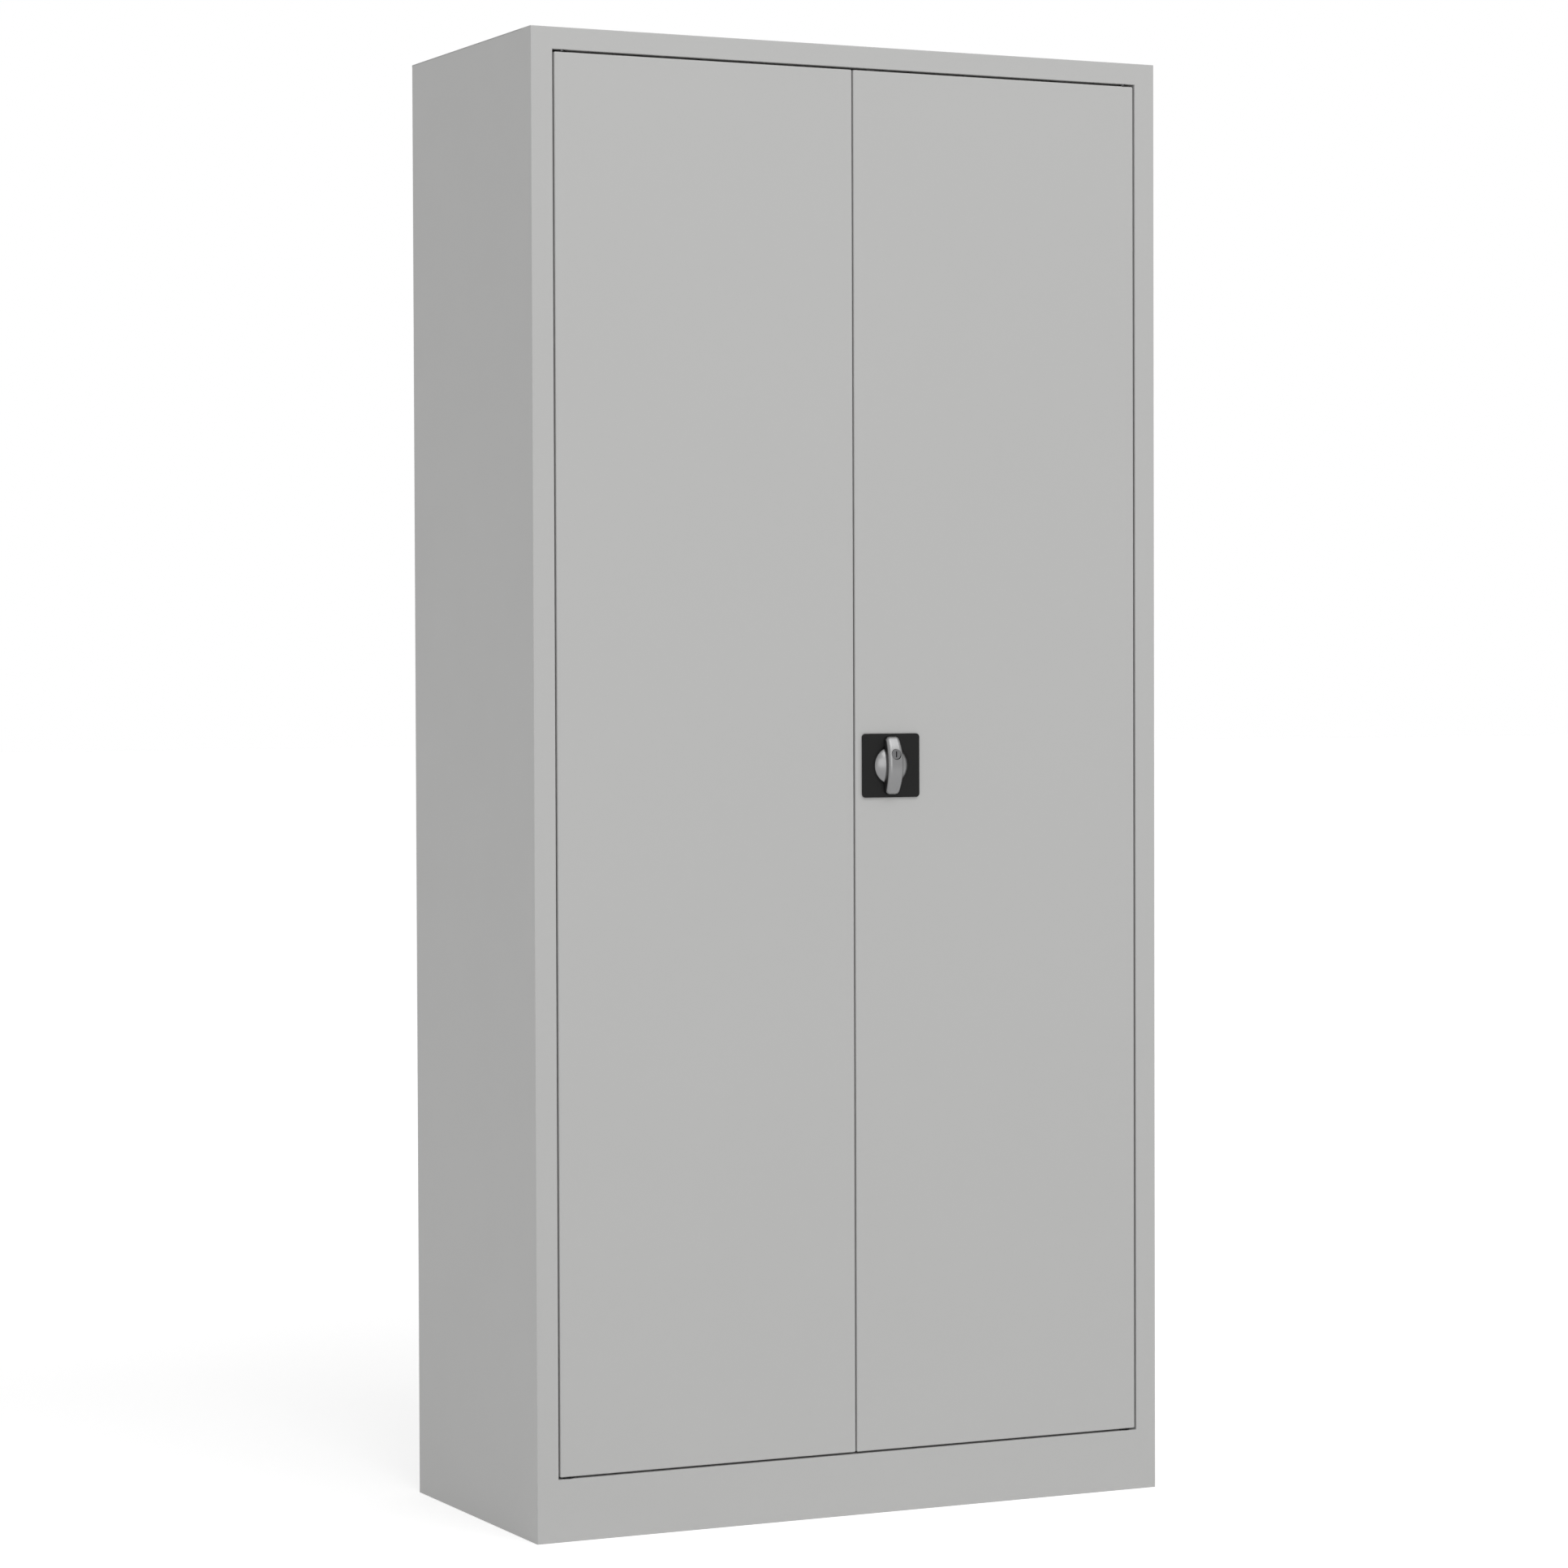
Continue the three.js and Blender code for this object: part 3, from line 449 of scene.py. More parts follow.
POWDER_COAT = PowderCoat()
ZINC_PLATE = Metal(Slot.ZINC_PLATE, (0.46, 0.47, 0.48), 0.36, Pattern(95.0, 0.12, 3.0))
SATIN_CHROME = Metal(Slot.SATIN_CHROME, (0.24, 0.24, 0.242), 0.29, Pattern(95.0, 0.02, 3.0),
                     Pattern(160.0, 0.05, 4.0), Pattern(2600.0, 0.0000015, 3.0))
DARK_STEEL = Metal(Slot.DARK_STEEL, (0.16, 0.16, 0.163), 0.34, grain=Pattern(1800.0, 0.000004, 3.0))
BLACK_PLASTIC = Moulded(Slot.BLACK_PLASTIC, (0.011, 0.011, 0.0108), 0.42, shine=0.16)
WHITE_NYLON = Moulded(Slot.WHITE_NYLON, (0.72, 0.71, 0.66), 0.42, soft_light=0.15)
GREY_RUBBER = Moulded(Slot.GREY_RUBBER, (0.05, 0.05, 0.05), 0.72, grain=Pattern(900.0, 0.00001, 2.0))


# Mesh work


class Blank:
    """A mesh in the making."""

    def __init__(self) -> None:
        """Start empty."""
        self.mesh = bmesh.new()

    @classmethod
    def block(cls, low: Sequence[float], high: Sequence[float]) -> "Blank":
        """Make a rectangular block.

        Args:
            low: The lower corner.
            high: The upper corner.

        Returns:
            The block.
        """
        blank = cls()
        low, high = Vector(low), Vector(high)
        matrix = Matrix.Translation((low + high) / 2) @ Matrix.Diagonal((*(high - low), 1.0))
        bmesh.ops.create_cube(blank.mesh, size=1.0, matrix=matrix)
        return blank

    @classmethod
    def tray(cls, low: Sequence[float], high: Sequence[float], opening: Vector, fold: float,
             lip: float) -> "Blank":
        """Make the outer face of a folded tray with lips round its open side.

        Args:
            low: The lower corner.
            high: The upper corner.
            opening: The direction that the open side faces.
            fold: The outside radius of the folds.
            lip: The width of the lips.

        Returns:
            The open face.
        """
        blank = cls.block(low, high)
        blank.round_edges(lambda edge: True, fold, FOLD_STEPS)
        lid = max((face for face in blank.mesh.faces if face.normal.dot(opening) > FACING),
                  key=bmesh.types.BMFace.calc_area)
        bmesh.ops.inset_region(blank.mesh, faces=[lid], thickness=lip - fold)
        bmesh.ops.delete(blank.mesh, geom=[lid], context="FACES")
        return blank

    @classmethod
    def prism(cls, outline: Sequence[tuple[float, float]], axis: Axis, low: float, high: float) -> "Blank":
        """Make a solid with the given section, run along an axis.

        Args:
            outline: The section's corners, on the two other axes in order.
            axis: The direction of the run.
            low: Where the run starts.
            high: Where the run ends.

        Returns:
            The solid.
        """
        blank = cls()
        mesh = blank.mesh
        corners = [mesh.verts.new(axis.point(first, second, low)) for first, second in outline]
        face = mesh.faces.new(corners)
        blank.pull(bmesh.ops.extrude_face_region(mesh, geom=[face])["geom"], axis.vector(high - low))
        bmesh.ops.recalc_face_normals(mesh, faces=mesh.faces)
        return blank

    @classmethod
    def folded(cls, path: Sequence[tuple[float, float]], axis: Axis, low: float, high: float,
               bend: float, material_side: Vector) -> "Blank":
        """Make one face of a folded sheet.

        Args:
            path: The corners of that face's section, on the two other axes in order.
            axis: The direction of the folds.
            low: Where the sheet starts along the axis.
            high: Where it ends.
            bend: The radius of the folds on this face.
            material_side: The direction from the path's first stretch into the material.

        Returns:
            The open face, with its normals pointing out of the material.
        """
        blank = cls()
        mesh = blank.mesh
        corners = [mesh.verts.new(axis.point(first, second, low)) for first, second in path]
        edges = [mesh.edges.new(pair) for pair in zip(corners, corners[1:])]
        blank.pull(bmesh.ops.extrude_edge_only(mesh, edges=edges)["geom"], axis.vector(high - low))
        bmesh.ops.recalc_face_normals(mesh, faces=mesh.faces)
        middle = (axis.point(*path[0], low) + axis.point(*path[1], high)) / 2
        first = min(mesh.faces, key=lambda face: (face.calc_center_median() - middle).length)
        if first.normal.dot(material_side) > 0:
            bmesh.ops.reverse_faces(mesh, faces=mesh.faces)
        blank.round_edges(lambda edge: not edge.is_boundary, bend, FOLD_STEPS)
        return blank

    @classmethod
    def lofted(cls, rings: Sequence[Sequence[Vector]]) -> "Blank":
        """Make the solid that runs through closed rings of as many points each.

        Args:
            rings: The rings, from one end of the solid to the other.

        Returns:
            The solid, closed at both ends.
        """
        blank = cls()
        mesh = blank.mesh
        ring = [mesh.verts.new(point) for point in rings[0]]
        mesh.faces.new(ring)
        for points in rings[1:]:
            edges = [mesh.edges.get(pair) for pair in zip(ring[-1:] + ring, ring)]
            made = bmesh.ops.extrude_edge_only(mesh, edges=edges)["geom"]
            new = {vert for vert in made if isinstance(vert, bmesh.types.BMVert)}
            ring = [next(edge.other_vert(vert) for edge in vert.link_edges if edge.other_vert(vert) in new)
                    for vert in ring]
            for vert, point in zip(ring, points):
                vert.co = point
        mesh.faces.new(ring)
        bmesh.ops.recalc_face_normals(mesh, faces=mesh.faces)
        return blank

    @classmethod
    def turned(cls, profile: Sequence[tuple[float, float]], axis: Axis, centre: Sequence[float],
               steps: int = ROUND_STEPS) -> "Blank":
        """Make a turned solid.

        Args:
            profile: Radius and place along the axis, corner by corner. It starts and ends on the axis,
                or closes in a ring.
            axis: The axis of the turning.
            centre: A point on that axis. Its coordinate along the axis is added to the profile's.
            steps: The facets of a full turn.

        Returns:
            The solid.
        """
        blank = cls()
        mesh = blank.mesh
        centre = Vector(centre)
        outward = Axis.Z if axis is Axis.X else Axis.X
        corners = [mesh.verts.new(centre + outward.vector(radius) + axis.vector(along))
                   for radius, along in profile]
        edges = [mesh.edges.new(pair) for pair in zip(corners, corners[1:])]
        if profile[0][0] > 0:
            edges.append(mesh.edges.new((corners[-1], corners[0])))
        bmesh.ops.spin(mesh, geom=corners + edges, cent=centre, axis=axis.vector(), angle=FULL_TURN,
                       steps=steps, use_merge=True)
        bmesh.ops.remove_doubles(mesh, verts=mesh.verts, dist=MERGING)
        bmesh.ops.recalc_face_normals(mesh, faces=mesh.faces)
        return blank

    def slice(self, axis: Axis, place: float, faces: Sequence[bmesh.types.BMFace] | None = None) -> None:
        """Cut faces along a plane square to an axis, and keep both sides.

        Args:
            axis: The axis that the plane is square to.
            place: Where the plane crosses it.
            faces: The faces to cut, or None for all of them.
        """
        faces = self.mesh.faces[:] if faces is None else faces
        edges = dict.fromkeys(edge for face in faces for edge in face.edges)
        verts = dict.fromkeys(vert for face in faces for vert in face.verts)
        bmesh.ops.bisect_plane(self.mesh, geom=[*verts, *edges, *faces], dist=MERGING,
                               plane_co=axis.vector(place), plane_no=axis.vector())

    def window(self, low: Sequence[float], high: Sequence[float]) -> None:
        """Cut a rectangular hole through the faces inside a box.

        Args:
            low: The box's lower corner.
            high: The box's upper corner.
        """
        for axis in Axis:
            for place in (low[axis.value], high[axis.value]):
                self.slice(axis, place, [face for face in self.mesh.faces if reaches_into(face, low, high)])
        self.drop_faces(lambda centre, _: all(
            low[axis.value] < centre[axis.value] < high[axis.value] for axis in Axis))

    def drop_faces(self, chosen: Callable[[Vector, Vector], bool]) -> None:
        """Delete the faces whose centre and normal the test accepts."""
        faces = [face for face in self.mesh.faces if chosen(face.calc_center_median(), face.normal)]
        bmesh.ops.delete(self.mesh, geom=faces, context="FACES")

    def pull(self, made: Iterable[object], move: Vector) -> None:
        """Move the new points of an extrusion."""
        points = [item for item in made if isinstance(item, bmesh.types.BMVert)]
        bmesh.ops.translate(self.mesh, verts=points, vec=move)

    def flange(self, chosen: Callable[[bmesh.types.BMEdge], bool], move: Vector) -> None:
        """Fold a flange out of the open edges that the test accepts."""
        edges = [edge for edge in self.mesh.edges if edge.is_boundary and chosen(edge)]
        self.pull(bmesh.ops.extrude_edge_only(self.mesh, edges=edges)["geom"], move)

    def round_edges(self, chosen: Callable[[bmesh.types.BMEdge], bool], radius: float, steps: int) -> None:
        """Round the edges that the test accepts.

        Args:
            chosen: The test.
            radius: The radius of the rounding.
            steps: Its facets.
        """
        edges = [edge for edge in self.mesh.edges if chosen(edge)]
        bmesh.ops.bevel(self.mesh, geom=edges, offset=radius, offset_type="OFFSET", segments=steps,
                        profile=0.5, affect="EDGES", clamp_overlap=True, material=-1)

    def soften(self, radius: float, steps: int = 2, angle: float = SHARP_ANGLE) -> None:
        """Round every edge that is sharper than an angle, leaving open edges alone."""
        self.round_edges(lambda edge: is_sharp(edge, angle), radius, steps)

    def thicken(self, thickness: float) -> None:
        """Give an open face its thickness, on the side away from its normals."""
        bmesh.ops.solidify(self.mesh, geom=self.mesh.faces[:], thickness=thickness)

    def take(self, other: "Blank") -> None:
        """Add another mesh to this one, as a shell of its own.

        Args:
            other: The other mesh, which is used up.
        """
        spare = bpy.data.meshes.new("spare")
        other.mesh.to_mesh(spare)
        other.mesh.free()
        self.mesh.from_mesh(spare)
        bpy.data.meshes.remove(spare)

    def bore(self, cutter: "Blank") -> None:
        """Take another solid's volume away from this one.

        Args:
            cutter: The other solid, which is used up.
        """
        target, tool = self._loose("target"), cutter._loose("tool")
        for loose in (target, tool):
            bpy.context.scene.collection.objects.link(loose)
        modifier = target.modifiers.new("bore", "BOOLEAN")
        modifier.object = tool
        modifier.operation = "DIFFERENCE"
        modifier.solver = "EXACT"
        cut = bpy.data.meshes.new_from_object(target.evaluated_get(bpy.context.evaluated_depsgraph_get()))
        self.mesh = bmesh.new()
        self.mesh.from_mesh(cut)
        spare = [target.data, tool.data, cut]
        for loose in (target, tool):
            bpy.data.objects.remove(loose)
        for mesh in spare:
            bpy.data.meshes.remove(mesh)

    def _loose(self, name: str) -> bpy.types.Object:
        """Hand the mesh over to a loose object.

        Args:
            name: The object's name.

        Returns:
            The object, which no collection holds yet.
        """
        mesh = bpy.data.meshes.new(name)
        self.mesh.to_mesh(mesh)
        self.mesh.free()
        return bpy.data.objects.new(name, mesh)

    def finish(self, name: str, body: Body, finish: Finish, *nodes: str) -> None:
        """Turn the mesh into a dressed piece that rides on a body.

        Args:
            name: The piece's name.
            body: The body it rides on.
            finish: What its surface is.
            *nodes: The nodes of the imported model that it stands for.
        """
        mesh = bpy.data.meshes.new(name)
        self.mesh.to_mesh(mesh)
        self.mesh.free()
        mesh.polygons.foreach_set("use_smooth", [True] * len(mesh.polygons))
        mesh.set_sharp_from_angle(angle=SHARP_ANGLE)
        mesh.materials.append(finish.material())
        piece = bpy.data.objects.new(name, mesh)
        bpy.context.scene.collection.objects.link(piece)
        normals = piece.modifiers.new("even_shading", "WEIGHTED_NORMAL")
        normals.keep_sharp = True
        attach(piece, body.value)
        if nodes:
            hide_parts(*nodes)
        log.info("%s: %d faces, on %s", name, len(mesh.polygons), body.value)


def cylinder(radius: float, start: float, end: float) -> list[tuple[float, float]]:
    """Return the profile of a plain cylinder, for turning."""
    return [(0.0, start), (radius, start), (radius, end), (0.0, end)]


def quarter_turn(steps: int) -> list[float]:
    """Return the angles from nothing to a quarter turn, in equal steps."""
    return [QUARTER_TURN * step / steps for step in range(steps + 1)]


def rounding(radius: float, distance: float) -> float:
    """Return how far an edge rounding falls back at a distance from the edge."""
    inside = max(0.0, radius - distance)
    return radius - math.sqrt(radius * radius - inside * inside)


def lies_on(edge: bmesh.types.BMEdge, axis: Axis, place: float) -> bool:
    """Tell whether both ends of an edge lie at a place along an axis."""
    return all(abs(vert.co[axis.value] - place) < TOUCHING for vert in edge.verts)


def runs_along(edge: bmesh.types.BMEdge, axis: Axis) -> bool:
    """Tell whether an edge is parallel to an axis."""
    direction = (edge.verts[1].co - edge.verts[0].co).normalized()
    return abs(direction[axis.value]) > 1 - TOUCHING


def is_sharp(edge: bmesh.types.BMEdge, angle: float = SHARP_ANGLE) -> bool:
    """Tell whether the two faces at an edge bend by more than an angle."""
    return edge.is_manifold and edge.calc_face_angle() > angle


def reaches_into(face: bmesh.types.BMFace, low: Sequence[float], high: Sequence[float]) -> bool:
    """Tell whether a face reaches into a box.

    Args:
        face: The face.
        low: The box's lower corner.
        high: The box's upper corner.

    Returns:
        Whether the face's own box and that box touch.
    """
    spans = ([vert.co[axis.value] for vert in face.verts] for axis in Axis)
    return all(min(span) < above + TOUCHING and max(span) > below - TOUCHING
               for span, below, above in zip(spans, low, high))


def cut_rod_slot(blank: Blank, rod: Rod, height: float, reach: Vector) -> None:
    """Cut the slot that a locking rod runs through.

    Args:
        blank: The face to cut.
        rod: The rod.
        height: Where the face lies.
        reach: From the slot's middle to its sides, on each axis.
    """
    low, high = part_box(rod.node)
    plain_edge = low.x if rod is Rod.UPPER else high.x
    middle = Vector((plain_edge + rod.value * LockRods.back / 2, (low.y + high.y) / 2, height))
    blank.window(middle - reach, middle + reach)


# The cabinet


@dataclass
class Carcass:
    """The welded body: walls, front frame, roof, floor and back.

    Attributes:
        sheet: The sheet's thickness.
        fold: The outside radius of a fold.
        frame_lip: The lip behind the top rail and behind the plinth.
        stile_lip: The lip behind each stile.
        wall_flange: The flange at the rear of each wall.
        cut_edge: The rounding of a flat sheet's edges.
        keeper_half_length: Half the length of the slots that the locking rods enter.
        keeper_half_depth: Half the width of those slots.
    """

    sheet: float = 0.0008
    fold: float = 0.002
    frame_lip: float = 0.020
    stile_lip: float = 0.012
    wall_flange: float = 0.013
    cut_edge: float = 0.0002
    keeper_half_length: float = 0.0061
    keeper_half_depth: float = 0.0036

    def __post_init__(self) -> None:
        """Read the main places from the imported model."""
        self.wall_low, self.wall_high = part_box("left_side_panel")
        self.stile_low, self.stile_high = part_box("left_stile")
        self.rail_low, self.rail_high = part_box("top_rail")
        self.plinth_low, self.plinth_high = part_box("plinth_front")

    def build(self) -> None:
        """Make every piece of the welded body."""
        self.shell()
        self.roof()
        self.flat("top_stop_strip", "top_stop")
        self.floor()
        self.flat("back_sheet", "back_panel")

    def shell(self) -> None:
        """Make the walls and the front frame, whose welded corners are ground flush."""
        half = -self.wall_low.x
        front, rear = self.stile_low.y, self.wall_high.y
        side_top, top = self.wall_high.z, self.rail_high.z
        opening = -self.stile_high.x
        under, over = self.rail_low.z, self.plinth_high.z
        stile_back = self.stile_high.y
        blank = Blank.block((-half, front, 0.0), (half, rear, top))
        for axis, place in ((Axis.X, -opening), (Axis.X, opening), (Axis.Z, over), (Axis.Z, under),
                            (Axis.Z, side_top), (Axis.Y, stile_back)):
            blank.slice(axis, place)
        blank.drop_faces(lambda centre, normal: (
            abs(normal.z) > FACING and (centre.z < over or centre.y > stile_back)
            or normal.y > FACING
            or abs(normal.x) > FACING and centre.y > stile_back and centre.z > side_top
            or normal.y < -FACING and abs(centre.x) < opening and over < centre.z < under))
        blank.flange(lambda edge: lies_on(edge, Axis.Y, front) and all(
            abs(vert.co.x) < half - TOUCHING and over - TOUCHING < vert.co.z < under + TOUCHING
            for vert in edge.verts), Axis.Y.vector(self.lip_depth - self.fold))
        for wall in (-half, half):
            blank.flange(lambda edge: lies_on(edge, Axis.Y, rear) and lies_on(edge, Axis.X, wall),
                         Axis.X.vector(-math.copysign(self.wall_flange, wall)))
        bmesh.ops.recalc_face_normals(blank.mesh, faces=blank.mesh.faces)
        blank.round_edges(lambda edge: is_sharp(edge) and not runs_along(edge, Axis.Y), self.fold, FOLD_STEPS)
        keeper = Vector((self.keeper_half_length, self.keeper_half_depth, self.sheet * 2))
        cut_rod_slot(blank, Rod.UPPER, under, keeper)
        cut_rod_slot(blank, Rod.LOWER, over, keeper)
        blank.thicken(self.sheet)
        for lip in self.lips(opening, under, over):
            blank.take(lip)
        blank.finish("welded_body", Body.CARCASS, POWDER_COAT, "left_side_panel", "right_side_panel",
                     "left_stile", "right_stile", "top_rail", "plinth_front")

    def lips(self, opening: float, under: float, over: float) -> Iterable[Blank]:
        """Make the folds behind the frame's opening.

        Args:
            opening: Half the width of the opening.
            under: The height of the top rail's underside.
            over: The height of the plinth's top.

        Yields:
            Each folded edge.
        """
        start = self.stile_low.y + self.lip_depth - self.fold
        lip_back, stile_back = start + self.fold, self.stile_high.y
        for side in Side:
            path = [(side.value * opening, start), (side.value * opening, stile_back),
                    (side.value * (opening + self.stile_lip), stile_back)]
            yield self.lip(path, Axis.Z, over, under, Axis.X.vector(side.value))
        for height, rise in ((under, self.frame_lip), (over, -self.frame_lip)):
            path = [(start, height), (lip_back, height), (lip_back, height + rise)]
            yield self.lip(path, Axis.X, -opening, opening, Axis.Z.vector(rise))

    def lip(self, path: Sequence[tuple[float, float]], axis: Axis, low: float, high: float,
            material_side: Vector) -> Blank:
        """Make one folded edge with its thickness.

        Args:
            path: The corners of its outer face's section.
            axis: The direction of the folds.
            low: Where it starts along the axis.
            high: Where it ends.
            material_side: The direction from the path's first stretch into the material.

        Returns:
            The folded edge.
        """
        blank = Blank.folded(path, axis, low, high, self.fold, material_side)
        blank.thicken(self.sheet)
        return blank

    @property
    def lip_depth(self) -> float:
        """How deep the top rail and the plinth's top are."""
        return self.plinth_high.y - self.plinth_low.y

    def roof(self) -> None:
        """Make the roof sheet, with its rear edge turned down over the back."""
        low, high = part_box("roof_panel")
        path = [(low.y, high.z), (high.y, high.z), (high.y, low.z - self.sheet / 2)]
        blank = Blank.folded(path, Axis.X, low.x, high.x, self.fold, Axis.Z.vector(-1.0))
        blank.thicken(self.sheet)
        blank.finish("roof_sheet", Body.CARCASS, POWDER_COAT, "roof_panel")

    def flat(self, name: str, node: str) -> None:
        """Make a flat sheet or strip with broken edges.

        Args:
            name: The piece's name.
            node: Its node.
        """
        blank = Blank.block(*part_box(node))
        blank.soften(self.cut_edge)
        blank.finish(name, Body.CARCASS, POWDER_COAT, node)

    def floor(self) -> None:
        """Make the floor tray, notched round the stiles."""
        low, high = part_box("floor_panel")
        narrow = self.rail_opening
        shoulder = self.stile_high.y + self.sheet / 2
        outline = [(-narrow, low.y), (narrow, low.y), (narrow, shoulder), (high.x, shoulder),
                   (high.x, high.y), (low.x, high.y), (low.x, shoulder), (-narrow, shoulder)]
        blank = Blank.prism(outline, Axis.Z, low.z, high.z)
        blank.drop_faces(lambda _, normal: normal.z < -FACING)
        blank.round_edges(lambda edge: lies_on(edge, Axis.Z, high.z), self.fold, FOLD_STEPS)
        blank.thicken(self.sheet)
        blank.finish("floor_tray", Body.CARCASS, POWDER_COAT, "floor_panel")

    @property
    def rail_opening(self) -> float:
        """Half the width between the stiles, less the welding gap."""
        return self.plinth_high.x


@dataclass
class Uprights:
    """The slotted uprights that the shelf clips hang in.

    Attributes:
        sheet: The sheet's thickness.
        bend: The outside radius of its folds.
        face: The width of the slotted face.
        first_slot: The height of the lowest slot above the upright's foot.
        pitch: The distance between slots.
        slot_height: The height of a slot.
        slot_width: The width of a slot.
        slots: The number of slots.
    """

    sheet: float = 0.0012
    bend: float = 0.0014
    face: float = 0.026
    first_slot: float = 0.0597
    pitch: float = 0.05
    slot_height: float = 0.004
    slot_width: float = 0.013
    slots: int = 35

    def build(self) -> None:
        """Make the four uprights."""
        for side in Side:
            for place in ("front", "rear"):
                self.upright(side, f"{place}_{side.word}_upright")

    def upright(self, side: Side, node: str) -> None:
        """Make one upright with its row of slots.

        Args:
            side: The wall that it stands on.
            node: Its node.
        """
        low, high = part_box(node)
        middle = (low.y + high.y) / 2
        if side is Side.LEFT:
            face_x, flange_x = high.x, low.x + self.sheet
        else:
            face_x, flange_x = low.x, high.x - self.sheet
        half = self.face / 2
        path = [(flange_x, low.y), (flange_x, middle - half), (face_x, middle - half),
                (face_x, middle + half), (flange_x, middle + half), (flange_x, high.y)]
        blank = Blank.folded(path, Axis.Z, low.z, high.z, self.bend, Axis.X.vector(side.value))
        half_slot = self.slot_width / 2
        for place in (middle - half_slot, middle + half_slot):
            blank.slice(Axis.Y, place)
        rows = [low.z + self.first_slot + self.pitch * slot for slot in range(self.slots)]
        for row in rows:
            blank.slice(Axis.Z, row)
            blank.slice(Axis.Z, row + self.slot_height)
        blank.drop_faces(lambda centre, _: abs(centre.y - middle) < half_slot and any(
            row < centre.z < row + self.slot_height for row in rows))
        blank.thicken(self.sheet)
        blank.finish(f"{node}_rail", Body.CARCASS, POWDER_COAT, node)


@dataclass
class Shelves:
    """The shelves and the clips that they lie on.

    Attributes:
        count: How many shelves there are.
        sheet: The shelf sheet's thickness.
        fold: The outside radius of a shelf's folds.
        lip: The width of the lip under a shelf's edges.
        clip_sheet: The clips' thickness.
        clip_bend: The outside radius of their folds.
        clip_edge: The rounding of their edges.
    """

    count: int = 4
    sheet: float = 0.0008
    fold: float = 0.0018
    lip: float = 0.010
    clip_sheet: float = 0.002
    clip_bend: float = 0.0026
    clip_edge: float = 0.000333

    def build(self) -> None:
        """Make every shelf with its four clips."""
        for number in range(1, self.count + 1):
            self.shelf(f"shelf_{number}")
            for side in Side:
                for place in ("front", "rear"):
                    self.clip(side, f"shelf_{number}_{place}_{side.word}_clip")

    def shelf(self, node: str) -> None:
        """Make a shelf: a tray turned over, with lips under its edges.

        Args:
            node: The shelf's node.
        """
        low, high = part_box(node)
        blank = Blank.tray(low, high, Axis.Z.vector(-1.0), self.fold, self.lip)
        blank.thicken(self.sheet)
        blank.finish(f"{node}_tray", Body.CARCASS, POWDER_COAT, node)

    def clip(self, side: Side, node: str) -> None:
        """Make a shelf clip: a ledge whose tail hooks up behind its slot.

        Args:
            side: The side of the cabinet that it hangs on.
            node: The clip's node.
        """
        low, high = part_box(node)
        tip, back = (high.x, low.x) if side is Side.LEFT else (low.x, high.x)
        path = [(tip, low.z), (back, low.z), (back, high.z)]
        blank = Blank.folded(path, Axis.Y, low.y, high.y, self.clip_bend, Axis.Z.vector())
        blank.thicken(self.clip_sheet)
        blank.soften(self.clip_edge)
        blank.finish(f"{node}_steel", Body.CARCASS, ZINC_PLATE, node)


@dataclass
class Hinges:
    """The concealed pivots at the top and foot of each door.

    Attributes:
        pin_radius: The radius of a pivot pin.
        head_height: The height of a pin's head.
        bore: The radius of a bush's bore.
        bush_radius: The outside radius of a bush's sleeve.
        sleeve: The length of a bush's sleeve inside the door.
        chamfer: The size of the small chamfers.
    """

    pin_radius: float = 0.003
    head_height: float = 0.002
    bore: float = 0.0034
    bush_radius: float = 0.0049
    sleeve: float = 0.009
    chamfer: float = 0.0004

    def build(self) -> None:
        """Make the pins and bushes of both doors."""
        for side in Side:
            for place, up in (("top", 1), ("bottom", -1)):
                self.pin(f"{side.word}_{place}_hinge_pin", up)
                self.bush(f"{side.word}_door_{place}_bush", side.door, up)

    def pin(self, node: str, up: int) -> None:
        """Make a headed pin.

        Args:
            node: The pin's node.
            up: 1 if its head is its upper end, and -1 if it is its lower end.
        """
        low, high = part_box(node)
        head, end = (high.x - low.x) / 2, (high.z - low.z) / 2
        profile = [(0.0, -end), (self.pin_radius - self.chamfer, -end), (self.pin_radius, self.chamfer - end),
                   (self.pin_radius, end - self.head_height), (head, end - self.head_height),
                   (head, end - self.chamfer), (head - self.chamfer, end), (0.0, end)]
        blank = Blank.turned([(radius, up * along) for radius, along in profile], Axis.Z, (low + high) / 2)
        blank.finish(f"{node}_steel", Body.CARCASS, DARK_STEEL, node)

    def bush(self, node: str, door: Body, up: int) -> None:
        """Make a flanged bush.

        Args:
            node: The bush's node.
            door: The door that it sits in.
            up: 1 if its flange is its upper end, and -1 if it is its lower end.
        """
        low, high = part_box(node)
        flange, end = (high.x - low.x) / 2, (high.z - low.z) / 2
        neck = self.sleeve - end + self.chamfer
        profile = [(self.bore, -end), (self.bush_radius - self.chamfer, -end),
                   (self.bush_radius, self.chamfer - end), (self.bush_radius, neck), (flange, neck),
                   (flange, end - self.chamfer), (flange - self.chamfer, end), (self.bore, end)]
        blank = Blank.turned([(radius, up * along) for radius, along in profile], Axis.Z, (low + high) / 2)
        blank.finish(f"{node}_moulding", door, BLACK_PLASTIC, node)


